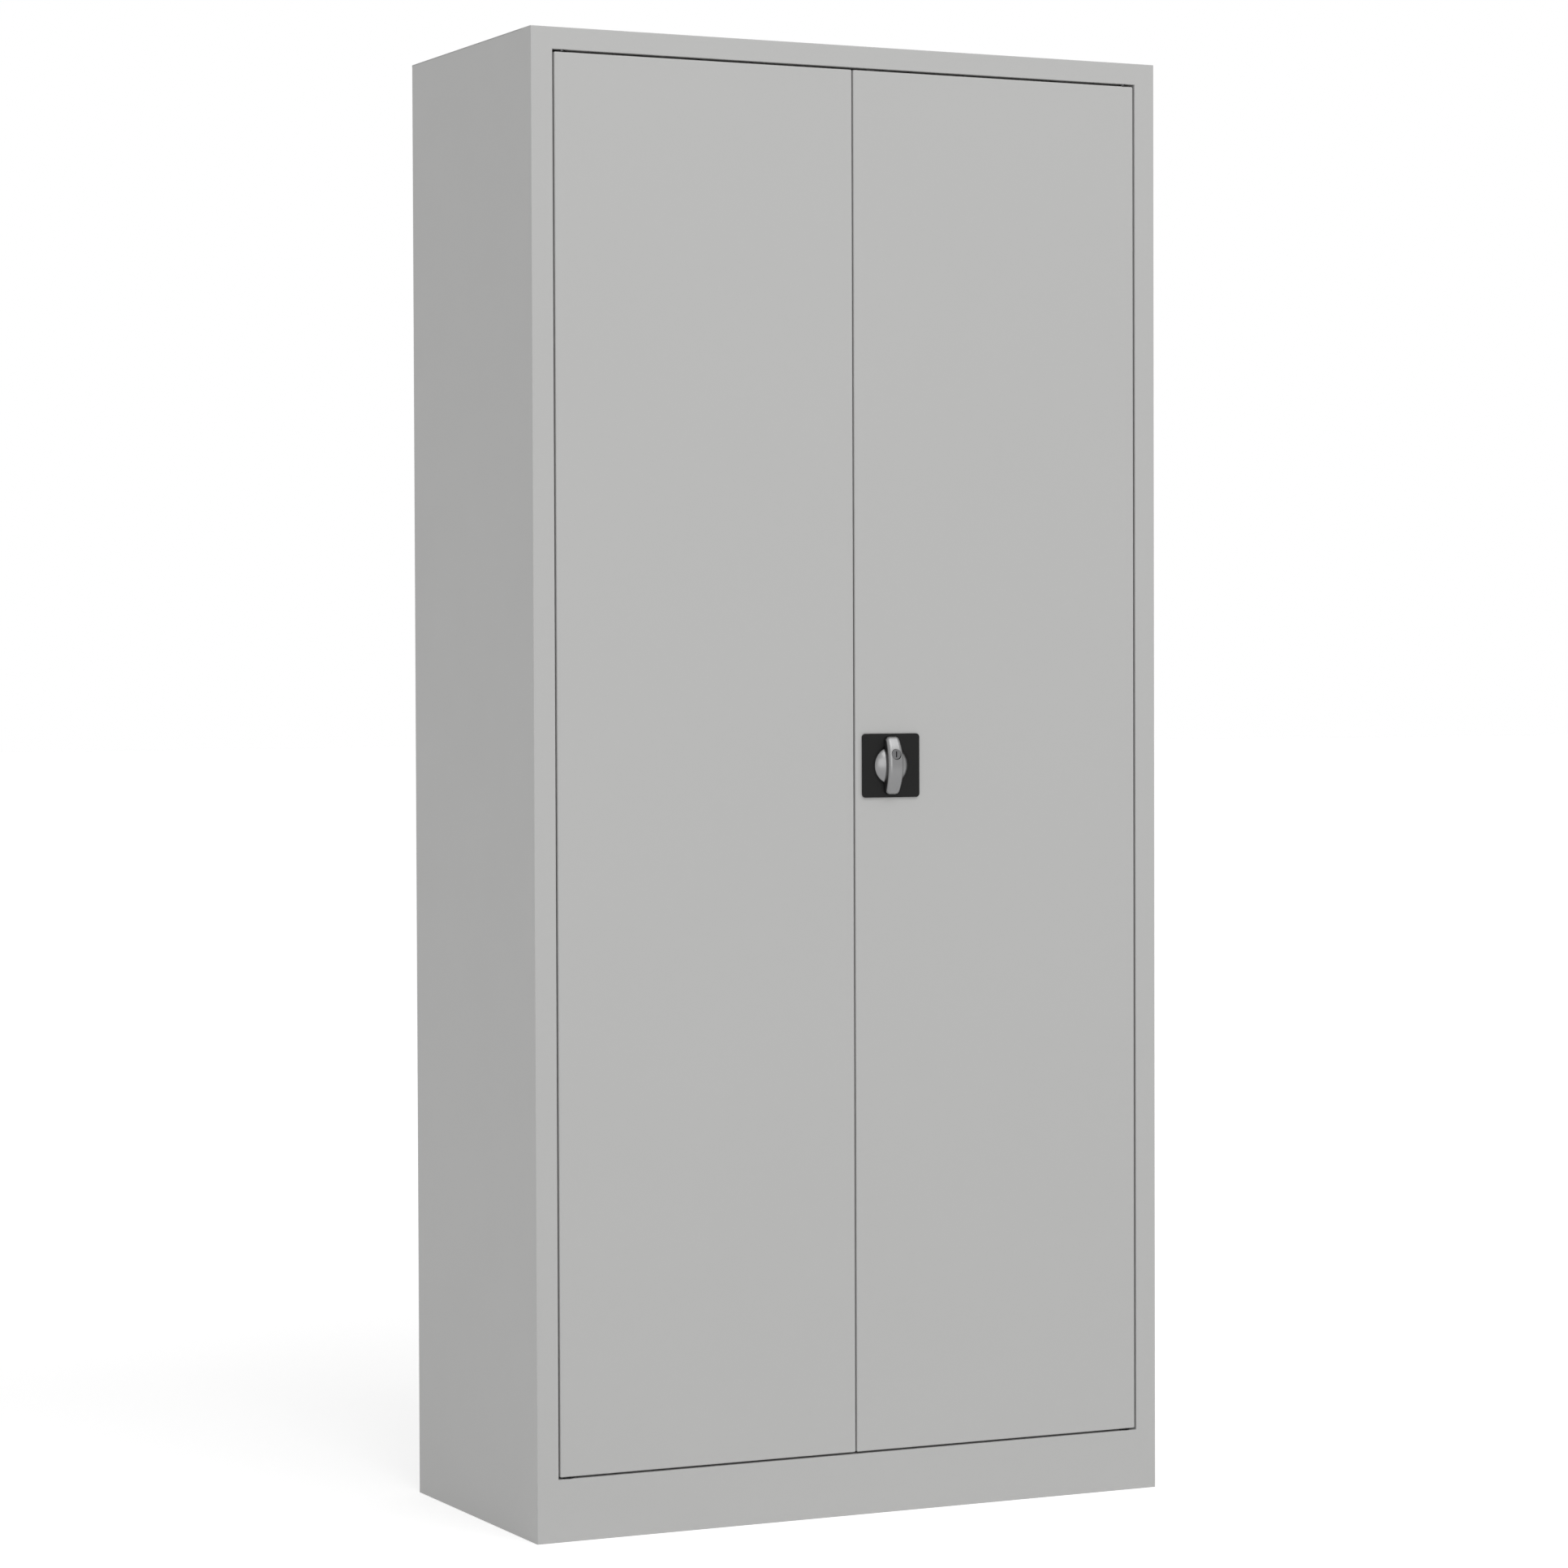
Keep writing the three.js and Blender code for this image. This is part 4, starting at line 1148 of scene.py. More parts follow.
@dataclass
class Buffers:
    """The rubber buffers that the doors close against.

    Attributes:
        stem_radius: The radius of the stem in the stop.
        barb_radius: The radius of the barb behind the stop.
        crown: How far the head's edge is rounded.
        crown_steps: The facets of that rounding.
        head_height: How far the head stands off the stop.
        stop_play: The stem's length between the head and the barb.
    """

    stem_radius: float = 0.002
    barb_radius: float = 0.003
    crown: float = 0.0016
    crown_steps: int = 4
    head_height: float = 0.0059
    stop_play: float = 0.0014

    def build(self) -> None:
        """Make two buffers for each door."""
        for side in Side:
            for place in ("top", "bottom"):
                self.buffer(f"{side.word}_{place}_buffer")

    def buffer(self, node: str) -> None:
        """Make one push-in buffer with a domed head.

        Args:
            node: The buffer's node.
        """
        low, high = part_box(node)
        centre = Vector(((low.x + high.x) / 2, low.y, (low.z + high.z) / 2))
        head, length = (high.x - low.x) / 2, high.y - low.y
        profile = [(0.0, 0.0)]
        for angle in quarter_turn(self.crown_steps):
            profile.append((head - self.crown * (1 - math.sin(angle)), self.crown * (1 - math.cos(angle))))
        barb = self.head_height + self.stop_play
        profile += [(head, self.head_height), (self.stem_radius, self.head_height), (self.stem_radius, barb),
                    (self.barb_radius, barb), (self.stem_radius / 2, length), (0.0, length)]
        blank = Blank.turned(profile, Axis.Y, centre, SMALL_ROUND_STEPS)
        blank.finish(f"{node}_rubber", Body.CARCASS, GREY_RUBBER, node)


@dataclass
class Door:
    """A door leaf: a folded tray with lips, and a stiffener welded inside.

    Attributes:
        side: The side that the door hangs on.
        sheet: The skin's thickness.
        fold: The outside radius of the folds.
        lip: The width of the lips behind.
        stiffener_sheet: The stiffener's thickness.
        stiffener_from_hinge: From the hinge edge to the middle of the stiffener.
        stiffener_crown: The width of its raised middle.
        stiffener_foot: The width of each foot on the skin.
        stiffener_depth: How far its middle stands off the skin.
        rod_play: The play of a rod in its slot.
        hole_play: How much wider a hole is than what passes through it.
    """

    side: Side
    sheet: float = 0.001
    fold: float = 0.002
    lip: float = 0.012
    stiffener_sheet: float = 0.0008
    stiffener_from_hinge: float = 0.2
    stiffener_crown: float = 0.034
    stiffener_foot: float = 0.012
    stiffener_depth: float = 0.016
    rod_play: float = 0.0004
    hole_play: float = 0.0002

    def build(self) -> None:
        """Make the leaf and its stiffener."""
        self.leaf()
        self.stiffener()

    def leaf(self) -> None:
        """Make the folded tray, with its slots and holes."""
        node = self.side.door.value
        low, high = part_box(node)
        blank = Blank.tray(low, high, Axis.Y.vector(), self.fold, self.lip)
        if self.side is Side.RIGHT:
            rod_low, rod_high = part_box(Rod.UPPER.node)
            mouth = Vector((LockRods.back / 2 + self.rod_play, (rod_high.y - rod_low.y) / 2 + self.rod_play,
                            self.sheet * 2))
            cut_rod_slot(blank, Rod.UPPER, high.z, mouth)
            cut_rod_slot(blank, Rod.LOWER, low.z, mouth)
        blank.thicken(self.sheet)
        for place, edge in (("top", high.z), ("bottom", low.z)):
            bush_low, bush_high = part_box(f"{node}_{place}_bush")
            middle = (bush_low + bush_high) / 2
            self.hole(blank, Axis.Z, (middle.x, middle.y, edge), Hinges.bush_radius)
        if self.side is Side.RIGHT:
            plate_low, plate_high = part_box("handle_plate")
            middle = (plate_low + plate_high) / 2
            for above, radius in ((0.0, HandlePlate.collar_radius),
                                  (HandlePlate.boss_from_axis, HandlePlate.boss_radius),
                                  (-HandlePlate.boss_from_axis, HandlePlate.boss_radius)):
                self.hole(blank, Axis.Y, (middle.x, low.y, middle.z + above), radius)
        blank.finish(f"{node}_leaf", self.side.door, POWDER_COAT, node)

    def hole(self, blank: Blank, axis: Axis, middle: Sequence[float], radius: float) -> None:
        """Bore a round hole through a sheet.

        Args:
            blank: The door's leaf.
            axis: The axis of the hole.
            middle: A point of the sheet in the middle of the hole.
            radius: The radius of what passes through the hole.
        """
        reach = self.sheet * 2
        blank.bore(Blank.turned(cylinder(radius + self.hole_play, -reach, reach), axis, middle))

    def stiffener(self) -> None:
        """Make the hat-section stiffener behind the skin."""
        node = self.side.door.value
        low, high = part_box(node)
        hinge_edge = low.x if self.side is Side.LEFT else high.x
        middle = hinge_edge - self.side.value * self.stiffener_from_hinge
        skin = low.y + self.sheet
        crown = skin + self.stiffener_depth
        foot = skin + self.stiffener_sheet
        half = self.stiffener_crown / 2
        path = [(middle - half - self.stiffener_foot, foot), (middle - half, foot), (middle - half, crown),
                (middle + half, crown), (middle + half, foot), (middle + half + self.stiffener_foot, foot)]
        blank = Blank.folded(path, Axis.Z, low.z + self.fold, high.z - self.fold, self.fold,
                             Axis.Y.vector(-1.0))
        blank.thicken(self.stiffener_sheet)
        blank.finish(f"{node}_hat_stiffener", self.side.door, POWDER_COAT, node)


@dataclass
class LockRods:
    """The two locking rods with their racks, and the guides that they run in.

    Attributes:
        back: The width of a rod behind its teeth.
        teeth: The number of rack teeth on each rod.
        module: The size of the teeth.
        flank: The lean of their flanks.
        edge: The size of the broken edges.
        sharp: The angle from which an edge is broken.
        guide_play: The play of a rod in its guides.
        guide_corner: The rounding of a guide's edges.
        guide_steps: The facets of that rounding.
    """

    back: float = 0.009
    teeth: int = 8
    module: float = 0.002
    flank: float = math.radians(20)
    edge: float = 0.0003
    sharp: float = math.radians(60)
    guide_play: float = 0.0004
    guide_corner: float = 0.0012
    guide_steps: int = 3

    def build(self) -> None:
        """Make both rods and both guides."""
        for rod in Rod:
            self.rod(rod)
        for rod in Rod:
            self.guide(rod)

    def rod(self, rod: Rod) -> None:
        """Make a flat rod whose rack lies at the end by the pinion.

        Args:
            rod: Which of the two it is.
        """
        low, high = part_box(rod.node)
        up = rod.value
        if rod is Rod.UPPER:
            outer, tip, start, end = low.x, high.x, low.z, high.z
        else:
            outer, tip, start, end = high.x, low.x, high.z, low.z
        root = outer + up * self.back
        pitch = math.pi * self.module
        lean = abs(tip - root) * math.tan(self.flank)
        root_half = pitch / 4 + lean / 2
        tip_half = pitch / 4 - lean / 2
        outline = [(outer, start), (root, start)]
        first = start + up * (pitch / 2 + self.module)
        for tooth in range(self.teeth):
            middle = first + up * tooth * pitch
            outline += [(root, middle - up * root_half), (tip, middle - up * tip_half),
                        (tip, middle + up * tip_half), (root, middle + up * root_half)]
        outline += [(root, end), (outer, end)]
        blank = Blank.prism(outline, Axis.Y, low.y, high.y)
        blank.soften(self.edge, 1, self.sharp)
        blank.finish(f"{rod.node}_steel", rod.body, ZINC_PLATE, rod.node)

    def guide(self, rod: Rod) -> None:
        """Make a guide block with the rod's slot through it.

        Args:
            rod: The rod that runs in it.
        """
        node = f"{rod.node}_guide"
        low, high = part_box(node)
        rod_low, rod_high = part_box(rod.node)
        middle = (low.x + high.x) / 2
        half = self.back / 2 + self.guide_play
        blank = Blank.block(low, high)
        blank.soften(self.guide_corner, self.guide_steps)
        blank.bore(Blank.block((middle - half, rod_low.y - self.guide_play, low.z - half),
                               (middle + half, rod_high.y + self.guide_play, high.z + half)))
        blank.finish(f"{node}_nylon", Body.RIGHT_DOOR, WHITE_NYLON, node)


@dataclass
class LockPart:
    """What the pieces about the handle's axis share.

    Attributes:
        seam: The gap between pieces that touch.
        ring_steps: The facets of the large round forms.
        bore_steps: The facets of the small ones.
    """

    seam: float = 0.0003
    ring_steps: int = 96
    bore_steps: int = 64

    def __post_init__(self) -> None:
        """Read the handle's axis and the plate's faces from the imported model."""
        self.plate_low, self.plate_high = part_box("handle_plate")
        self.handle_low, self.handle_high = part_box("turn_handle")
        self.axis_x = (self.plate_low.x + self.plate_high.x) / 2
        self.axis_z = (self.plate_low.z + self.plate_high.z) / 2
        self.plate_front = self.plate_low.y
        self.plate_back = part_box("right_door")[0].y - self.seam

    def turned(self, profile: Sequence[tuple[float, float]], above: float = 0.0,
               steps: int = ROUND_STEPS) -> Blank:
        """Return a solid turned about the handle's axis, or about a line above it."""
        return Blank.turned(profile, Axis.Y, (self.axis_x, 0.0, self.axis_z + above), steps)


@dataclass
class HandlePlate(LockPart):
    """The black plate that the handle turns in, with its collar and its screw bosses.

    Attributes:
        corner: The radius of the plate's corners.
        corner_steps: The facets of each corner.
        edge: The rounding of its front edge.
        edge_steps: The facets of that rounding.
        recess_radius: The radius of the shallow recess round the handle.
        recess_depth: The depth of that recess.
        bore_radius: The radius of the hole for the spindle.
        collar_radius: The radius of the collar behind the plate.
        collar_length: The length of the collar.
        boss_radius: The radius of a screw boss.
        boss_from_axis: From the handle's axis to each boss.
    """

    corner: float = 0.005
    corner_steps: int = 10
    edge: float = 0.0009
    edge_steps: int = 5
    recess_radius: float = 0.027
    recess_depth: float = 0.001
    bore_radius: float = 0.0079
    collar_radius: float = 0.0114
    collar_length: float = 0.0043
    boss_radius: float = 0.0042
    boss_from_axis: float = 0.032

    def build(self) -> None:
        """Make the plate with what is moulded on its back."""
        self.plate()
        self.collar()
        for word, above in (("upper", self.boss_from_axis), ("lower", -self.boss_from_axis)):
            self.boss(word, above)

    def plate(self) -> None:
        """Make the black plate with its shallow round recess."""
        high = Vector(self.plate_high)
        high.y = self.plate_back
        blank = Blank.block(self.plate_low, high)
        blank.round_edges(lambda edge: runs_along(edge, Axis.Y), self.corner, self.corner_steps)
        blank.round_edges(lambda edge: lies_on(edge, Axis.Y, self.plate_front), self.edge, self.edge_steps)
        floor = self.plate_front + self.recess_depth
        brim = self.recess_depth / 2
        before, beyond = self.plate_front - brim, self.plate_back + self.recess_depth
        blank.bore(self.turned([
            (0.0, before), (self.recess_radius + self.recess_depth, before),
            (self.recess_radius, floor - brim), (self.recess_radius - brim, floor),
            (self.bore_radius, floor), (self.bore_radius, beyond), (0.0, beyond)], steps=self.ring_steps))
        blank.finish("handle_plate_cover", Body.RIGHT_DOOR, BLACK_PLASTIC, "handle_plate")

    def collar(self) -> None:
        """Make the collar that passes through the door's skin."""
        end = self.plate_back + self.collar_length
        blank = self.turned([(self.bore_radius, self.plate_back), (self.collar_radius, self.plate_back),
                             (self.collar_radius, end), (self.bore_radius, end)])
        blank.finish("handle_plate_collar", Body.RIGHT_DOOR, BLACK_PLASTIC, "handle_plate")

    def boss(self, word: str, above: float) -> None:
        """Make one boss that a lock screw is driven into.

        Args:
            word: The boss's name.
            above: Its height above the handle's axis.
        """
        blank = self.turned(cylinder(self.boss_radius, self.plate_back, self.plate_high.y), above,
                            SMALL_ROUND_STEPS)
        blank.finish(f"handle_plate_{word}_boss", Body.RIGHT_DOOR, BLACK_PLASTIC, "handle_plate")


@dataclass
class TurnHandle(LockPart):
    """The turn handle with its spindle and pinion, and the key plug in its grip.

    Attributes:
        dome_radius: The radius of the handle's round base.
        dome_rim: The straight height of the base's rim.
        dome_height: The height of the domed base.
        dome_sink: How deep the base lies in the plate's recess.
        dome_fullness: How the dome falls from its middle, where 1 is an ellipse and 2 a parabola.
        dome_steps: The facets of the dome, from its middle to its rim.
        spindle_radius: The radius of the spindle behind the base.
        tail_radius: The radius of the spindle's end.
        tail_length: The length of the spindle's end.
        tail_chamfer: The chamfer at its tip.
        grip_length: The length of the grip.
        grip_middle_width: The width of the grip at its middle.
        grip_end_width: The width of the grip near its ends.
        grip_end_height: How far the front of the grip's ends stands off the plate.
        grip_gap: The gap between the grip's ends and the plate.
        grip_corner: The radius of the grip's ends, seen from the front.
        grip_edge: The rounding over the grip's ends.
        grip_side: The rounding along the grip's sides.
        grip_side_share: How much of the grip's depth and half width that rounding takes up at most.
        grip_steps: The facets of the grip between its rounded ends.
        corner_steps: The facets of each rounded end.
        edge_steps: The facets of each rounded front edge.
        plug_play: The play of the key plug in its bore.
        plug_edge: The rounding of the plug's face.
        key_slot_width: The width of the key slot.
        key_slot_height: The height of the key slot.
        key_slot_depth: The depth of the key slot.
        key_slot_corner: The radius of its corners.
        key_slot_steps: The facets of each corner.
        pinion_teeth: The number of the pinion's teeth.
        pinion_outline: Radius, and angle from the tooth's middle, down one flank of a tooth.
    """

    dome_radius: float = 0.0245
    dome_rim: float = 0.0006
    dome_height: float = 0.010
    dome_sink: float = 0.0007
    dome_fullness: float = 1.6
    dome_steps: int = 16
    spindle_radius: float = 0.0075
    tail_radius: float = 0.0035
    tail_length: float = 0.009
    tail_chamfer: float = 0.0005
    grip_length: float = 0.077
    grip_middle_width: float = 0.0228
    grip_end_width: float = 0.0206
    grip_end_height: float = 0.0053
    grip_gap: float = 0.001
    grip_corner: float = 0.006
    grip_edge: float = 0.0022
    grip_side: float = 0.0058
    grip_side_share: float = 0.8
    grip_steps: int = 28
    corner_steps: int = 10
    edge_steps: int = 8
    plug_play: float = 0.0003
    plug_edge: float = 0.0006
    key_slot_width: float = 0.0018
    key_slot_height: float = 0.008
    key_slot_depth: float = 0.003
    key_slot_corner: float = 0.0006
    key_slot_steps: int = 3
    pinion_teeth: int = 12
    pinion_outline: tuple[tuple[float, float], ...] = ((0.014, 0.055), (0.0122, 0.125), (0.0103, 0.185))

    def build(self) -> None:
        """Make the handle, the key plug and the pinion."""
        self.dome()
        self.grip()
        self.plug()
        self.pinion()

    def dome(self) -> None:
        """Make the handle's round base with its spindle."""
        base = self.plate_front + self.dome_sink
        front = base - self.dome_height
        rise = self.dome_height - self.dome_rim
        profile = [(self.dome_radius * math.sin(lean),
                    front + rise * (1 - max(0.0, math.cos(lean)) ** self.dome_fullness))
                   for lean in quarter_turn(self.dome_steps)]
        end = self.handle_high.y
        shoulder = end - self.tail_length
        profile += [(self.dome_radius, base - self.seam), (self.dome_radius - self.seam, base),
                    (self.spindle_radius, base), (self.spindle_radius, shoulder),
                    (self.tail_radius, shoulder), (self.tail_radius, end - self.tail_chamfer),
                    (self.tail_radius - self.tail_chamfer, end), (0.0, end)]
        blank = self.turned(profile, steps=self.ring_steps)
        blank.bore(self.plug_bore())
        blank.finish("handle_base", Body.HANDLE, SATIN_CHROME, "turn_handle")

    def grip(self) -> None:
        """Make the arched grip, bored for the key plug."""
        straight = self.grip_length / 2 - self.grip_corner
        heights = [straight * (2 * step / self.grip_steps - 1) for step in range(self.grip_steps + 1)]
        ends = [straight + self.grip_corner * math.sin(lean) for lean in quarter_turn(self.corner_steps)[1:]]
        blank = Blank.lofted([self.grip_ring(height)
                              for height in [-end for end in reversed(ends)] + heights + ends])
        blank.bore(self.plug_bore())
        blank.finish("handle_grip", Body.HANDLE, SATIN_CHROME, "turn_handle")

    def plug_bore(self) -> Blank:
        """Make the volume that is bored out for the key plug.

        Returns:
            A cylinder that reaches out in front of the handle.
        """
        low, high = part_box("key_plug")
        radius = (high.x - low.x) / 2 + self.plug_play
        return self.turned(cylinder(radius, self.handle_low.y - radius, high.y + self.seam),
                           (low.z + high.z) / 2 - self.axis_z, self.bore_steps)

    def grip_ring(self, height: float) -> list[Vector]:
        """Work out the grip's section at one height.

        Args:
            height: The height above the handle's axis.

        Returns:
            The section's corners, as many at every height.
        """
        half_length = self.grip_length / 2
        from_end = half_length - abs(height)
        front = self.handle_low.y
        rise = self.plate_front - self.grip_end_height - front
        arch = (half_length * half_length + rise * rise) / (2 * rise)
        narrowing = (self.grip_middle_width - self.grip_end_width) * (height / half_length) ** 2
        half = (self.grip_middle_width - narrowing) / 2 - rounding(self.grip_corner, from_end)
        face = front + arch - math.sqrt(arch * arch - height * height) + rounding(self.grip_edge, from_end)
        back = self.plate_front - self.grip_gap
        radius = min(self.grip_side, self.grip_side_share * (back - face), self.grip_side_share * half)
        turns = quarter_turn(self.edge_steps)
        ring = [Vector((-half, back)), Vector((half, back))]
        for side, angles in ((1, turns), (-1, reversed(turns))):
            for angle in angles:
                ring.append(Vector((side * (half - radius + radius * math.cos(angle)),
                                    face + radius - radius * math.sin(angle))))
        return [Vector((self.axis_x + point.x, point.y, self.axis_z + height)) for point in ring]

    def plug(self) -> None:
        """Make the key plug with its key slot."""
        low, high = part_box("key_plug")
        centre = (low + high) / 2
        radius, face, edge = (high.x - low.x) / 2, low.y, self.plug_edge
        blank = self.turned([(0.0, face), (radius - edge, face), (radius - edge / 3, face + edge / 3),
                             (radius, face + edge), (radius, high.y), (0.0, high.y)],
                            centre.z - self.axis_z, self.bore_steps)
        half_width, half_height = self.key_slot_width / 2, self.key_slot_height / 2
        slot = Blank.block((centre.x - half_width, face - radius, centre.z - half_height),
                           (centre.x + half_width, face + self.key_slot_depth, centre.z + half_height))
        slot.round_edges(lambda edge: runs_along(edge, Axis.Y), self.key_slot_corner, self.key_slot_steps)
        blank.bore(slot)
        blank.finish("key_plug_steel", Body.KEY_PLUG, DARK_STEEL, "key_plug")

    def pinion(self) -> None:
        """Make the pinion on the handle's spindle."""
        low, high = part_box("pinion")
        rising = [(radius, -angle) for radius, angle in reversed(self.pinion_outline)]
        points = []
        for tooth in range(self.pinion_teeth):
            middle = (tooth + 0.5) * FULL_TURN / self.pinion_teeth
            for radius, angle in (*rising, *self.pinion_outline):
                points.append((self.axis_x + radius * math.cos(middle + angle),
                               self.axis_z + radius * math.sin(middle + angle)))
        blank = Blank.prism(points, Axis.Y, low.y, high.y)
        blank.finish("pinion_steel", Body.HANDLE, DARK_STEEL, "pinion")


@dataclass
class LockCase(LockPart):
    """The lock case behind the door's skin, with its two screws.

    Attributes:
        sheet: The case's thickness.
        bend: The outside radius of its folds.
        bend_steps: The facets of a fold.
        rod_play: The play of a rod in the case's slots.
        tail_play: The play of the handle's spindle in the case's back.
        slot_margin: From the case's sides to the slots.
        cut_depth: How far a slot's cut reaches above and below the face.
        shank_radius: The radius of a screw's shank.
        point_radius: The radius of its blunt point.
        point_length: The length of its point.
        head_height: The height of its pan head.
        head_flat: The share of the head's radius that is flat.
        crown_height: The height of the head's rounding.
        crown_steps: The facets of that rounding.
        cross_half_width: Half the width of the cross slot.
        cross_depth: The depth of the cross slot.
        cross_reach: The share of the head's radius that the cross slot covers.
    """

    sheet: float = 0.0012
    bend: float = 0.00192
    bend_steps: int = 4
    rod_play: float = 0.0004
    tail_play: float = 0.0004
    slot_margin: float = 0.004
    cut_depth: float = 0.002
    shank_radius: float = 0.0015
    point_radius: float = 0.0005
    point_length: float = 0.001
    head_height: float = 0.002
    head_flat: float = 0.55
    crown_height: float = 0.0015
    crown_steps: int = 4
    cross_half_width: float = 0.0004
    cross_depth: float = 0.0012
    cross_reach: float = 0.6

    def build(self) -> None:
        """Make the case and both screws."""
        self.case()
        for word in ("upper", "lower"):
            self.screw(f"{word}_lock_screw")

    def case(self) -> None:
        """Make the lock case, open towards the door's skin."""
        low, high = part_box("lock_case")
        blank = Blank.block(low, high)
        blank.drop_faces(lambda _, normal: normal.y < -FACING)
        blank.soften(self.bend, self.bend_steps)
        play = Vector((self.rod_play, self.rod_play, 0.0))
        for rod, end in ((Rod.UPPER, high.z), (Rod.LOWER, low.z)):
            rod_low, rod_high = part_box(rod.node)
            left = max(rod_low.x, low.x + self.slot_margin)
            right = min(rod_high.x, high.x - self.slot_margin)
            blank.window(Vector((left, rod_low.y, end - self.cut_depth)) - play,
                         Vector((right, rod_high.y, end + self.cut_depth)) + play)
        blank.thicken(self.sheet)
        blank.bore(self.turned(cylinder(TurnHandle.tail_radius + self.tail_play,
                                        high.y - self.sheet * 2, high.y + self.sheet)))
        blank.finish("lock_case_steel", Body.RIGHT_DOOR, ZINC_PLATE, "lock_case")

    def screw(self, node: str) -> None:
        """Make a pan-head screw through the back of the lock case.

        Args:
            node: The screw's node.
        """
        low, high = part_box(node)
        centre = Vector(((low.x + high.x) / 2, high.y, (low.z + high.z) / 2))
        head, length = (high.x - low.x) / 2, high.y - low.y
        profile = [(0.0, 0.0)]
        for angle in quarter_turn(self.crown_steps):
            share = self.head_flat + (1 - self.head_flat) * math.sin(angle)
            profile.append((head * share, -self.crown_height * (1 - math.cos(angle))))
        profile += [(head, -self.head_height), (self.shank_radius, -self.head_height),
                    (self.shank_radius, self.point_length - length), (self.point_radius, -length),
                    (0.0, -length)]
        blank = Blank.turned(profile, Axis.Y, centre, SMALL_ROUND_STEPS)
        for long_way in (Axis.X, Axis.Z):
            reach = Vector((self.cross_half_width, self.cross_depth, self.cross_half_width))
            reach[long_way.value] = head * self.cross_reach
            blank.bore(Blank.block(centre - reach, centre + reach))
        blank.finish(f"{node}_steel", Body.RIGHT_DOOR, ZINC_PLATE, node)


# The studio


@dataclass(frozen=True)
class Softbox:
    """A large soft light.

    Attributes:
        name: The light's name.
        place: Where its middle stands.
        width: Its width in metres.
        height: Its height in metres.
        power: Its power in watts.
    """

    name: str
    place: tuple[float, float, float]
    width: float
    height: float
    power: float

    def build(self, target: Sequence[float]) -> None:
        """Make the light and turn it towards a point.

        Args:
            target: The point.
        """
        data = bpy.data.lights.new(self.name, "AREA")
        data.shape = "RECTANGLE"
        data.size = self.width
        data.size_y = self.height
        data.energy = self.power
        light = bpy.data.objects.new(self.name, data)
        bpy.context.scene.collection.objects.link(light)
        turn = (Vector(target) - Vector(self.place)).to_track_quat("-Z", "Y").to_matrix().to_4x4()
        light.matrix_world = Matrix.Translation(self.place) @ turn


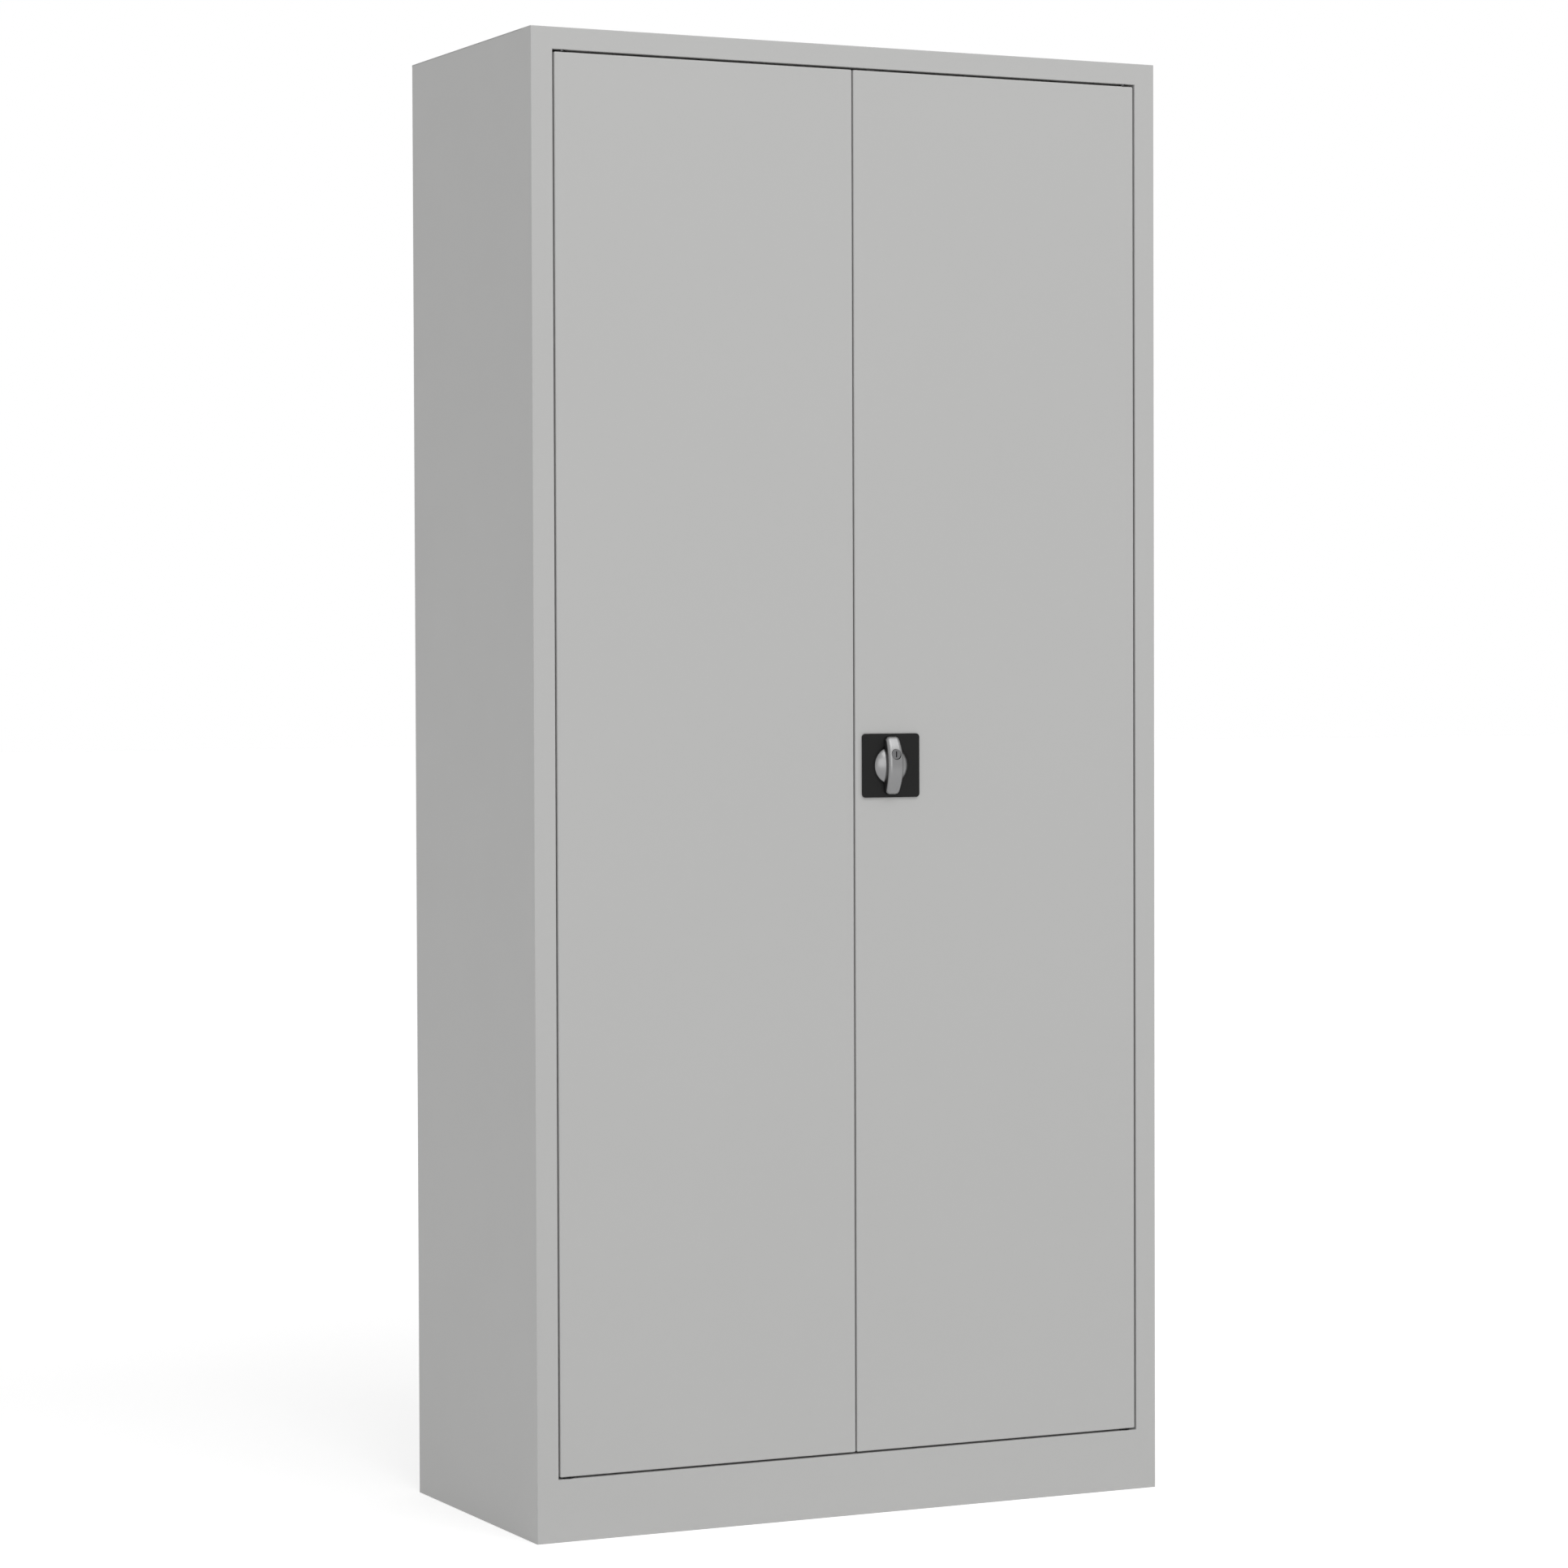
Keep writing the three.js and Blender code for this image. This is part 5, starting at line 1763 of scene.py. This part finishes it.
@dataclass
class Studio:
    """A pale floor, soft lights, and a camera at the photograph's place.

    Attributes:
        camera_place: Where the camera stands.
        yaw: Its turn to the right of the cabinet's depth direction, in degrees.
        pitch: Its tilt upwards, in degrees.
        roll: Its turn about its own axis, in degrees.
        lens: Its focal length in millimetres.
        sensor: The width of its square sensor in millimetres.
        sight: How far it sees.
        softboxes: The lights.
        lit_point: The point that the lights face.
        ambient: The strength of the light from all round.
        floor_size: Half the width of the floor.
        floor_tone: The floor's paleness.
        floor_roughness: The floor's roughness.
        floor_shine: The floor's specular level.
        near_floor: The distance out to which the floor has its near glow.
        far_floor: The distance from which it has its far glow.
        near_glow: What brings the floor to white near the cabinet, for the rays that show it.
        far_glow: The same far away.
    """

    camera_place: tuple[float, float, float] = (-2.6880, -5.5485, 1.1197)
    yaw: float = 25.784
    pitch: float = -1.392
    roll: float = -0.190
    lens: float = 103.597
    sensor: float = 36.0
    sight: float = 200.0
    softboxes: tuple[Softbox, ...] = (
        Softbox("key_light", (-4.8, -11.4, 2.8), 9.0, 9.0, 280.0),
        Softbox("overhead_light", (1.4, -6.6, 8.4), 9.0, 5.0, 290.0))
    lit_point: tuple[float, float, float] = (0.0, -0.2, 0.8)
    ambient: float = 0.45
    floor_size: float = 60.0
    floor_tone: float = 0.93
    floor_roughness: float = 0.9
    floor_shine: float = 0.2
    near_floor: float = 1.5
    far_floor: float = 6.0
    near_glow: float = 0.49
    far_glow: float = 0.56

    def build(self) -> None:
        """Make the floor, the surroundings, the lights and the camera."""
        self.floor()
        self.surroundings()
        for softbox in self.softboxes:
            softbox.build(self.lit_point)
        self.camera()

    def floor(self) -> None:
        """Make the pale floor, which keeps the cabinet's shadow."""
        mesh = bmesh.new()
        bmesh.ops.create_grid(mesh, x_segments=1, y_segments=1, size=self.floor_size)
        data = bpy.data.meshes.new("studio_floor")
        mesh.to_mesh(data)
        mesh.free()
        floor = bpy.data.objects.new("studio_floor", data)
        bpy.context.scene.collection.objects.link(floor)
        data.materials.append(self.floor_paint())
        floor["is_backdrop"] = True

    def floor_paint(self) -> bpy.types.Material:
        """Make the floor's paint, which shows white wherever light reaches it freely.

        Returns:
            The material.
        """
        material = bpy.data.materials.new("pale_floor")
        material.use_nodes = True
        graph = Graph(material.node_tree)
        place = graph.node("ShaderNodeTexCoord").outputs["Object"]
        away = graph.node("ShaderNodeVectorMath", {"operation": "LENGTH"}, Vector=place)
        ramp = graph.node("ShaderNodeMapRange", {"interpolation_type": "SMOOTHSTEP"},
                          Value=away.outputs["Value"], From_Min=self.near_floor, From_Max=self.far_floor,
                          To_Min=self.near_glow, To_Max=self.far_glow)
        glow = Signal(graph, ramp.outputs["Result"]) * self.seen(graph)
        shader = graph.node("ShaderNodeBsdfPrincipled", Base_Color=(*[self.floor_tone] * 3, 1.0),
                            Roughness=self.floor_roughness, Specular_IOR_Level=self.floor_shine,
                            Emission_Color=graph.blend(glow, BLACK, WHITE), Emission_Strength=1.0)
        graph.node("ShaderNodeOutputMaterial", Surface=shader.outputs["BSDF"])
        return material

    def seen(self, graph: Graph) -> Signal:
        """Tell the rays that show a surface, in the picture or in a reflection, from the rest.

        Args:
            graph: The graph to add to.

        Returns:
            1 for such a ray and 0 for any other.
        """
        rays = graph.node("ShaderNodeLightPath").outputs
        camera, glossy, through = (Signal(graph, rays[f"Is {kind} Ray"])
                                   for kind in ("Camera", "Glossy", "Transmission"))
        return graph.maths("MINIMUM", camera + glossy + through, 1.0)

    def surroundings(self) -> None:
        """Make the white surroundings, which light the scene softly."""
        world = bpy.data.worlds.new("studio_surroundings")
        world.use_nodes = True
        bpy.context.scene.world = world
        graph = Graph(world.node_tree)
        strength = self.seen(graph) * (1.0 - self.ambient) + self.ambient
        background = graph.node("ShaderNodeBackground", Color=(*WHITE, 1.0), Strength=strength)
        graph.node("ShaderNodeOutputWorld", Surface=background.outputs["Background"])

    def camera(self) -> None:
        """Make the camera."""
        yaw, pitch, roll = (math.radians(angle) for angle in (self.yaw, self.pitch, self.roll))
        ahead = Vector((math.sin(yaw) * math.cos(pitch), math.cos(yaw) * math.cos(pitch), math.sin(pitch)))
        right = Vector((math.cos(yaw), -math.sin(yaw), 0.0))
        up = right.cross(ahead)
        rolled_right = math.cos(roll) * right + math.sin(roll) * up
        rolled_up = math.cos(roll) * up - math.sin(roll) * right
        data = bpy.data.cameras.new("photo_camera")
        data.sensor_fit = "HORIZONTAL"
        data.sensor_width = self.sensor
        data.lens = self.lens
        data.clip_end = self.sight
        camera = bpy.data.objects.new("photo_camera", data)
        bpy.context.scene.collection.objects.link(camera)
        turn = Matrix((rolled_right, rolled_up, -ahead)).transposed().to_4x4()
        camera.matrix_world = Matrix.Translation(self.camera_place) @ turn
        bpy.context.scene.camera = camera
        bpy.context.scene.view_settings.view_transform = "Standard"


def write_sizes() -> None:
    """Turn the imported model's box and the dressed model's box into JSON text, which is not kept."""
    boxes = {"packed": packed_bounds, "dressed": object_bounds()}
    json.dumps({name: [list(corner) for corner in box] for name, box in boxes.items()})


def main() -> None:
    """Build the cabinet and the studio in order."""
    logging.basicConfig(level=logging.INFO, format="%(message)s")
    for assembly in (Carcass(), Uprights(), Shelves(), Hinges(), Buffers(), Door(Side.LEFT), Door(Side.RIGHT),
                     LockRods(), HandlePlate(), TurnHandle(), LockCase(), Studio()):
        assembly.build()
    write_sizes()


if __name__ == "__main__":
    main()
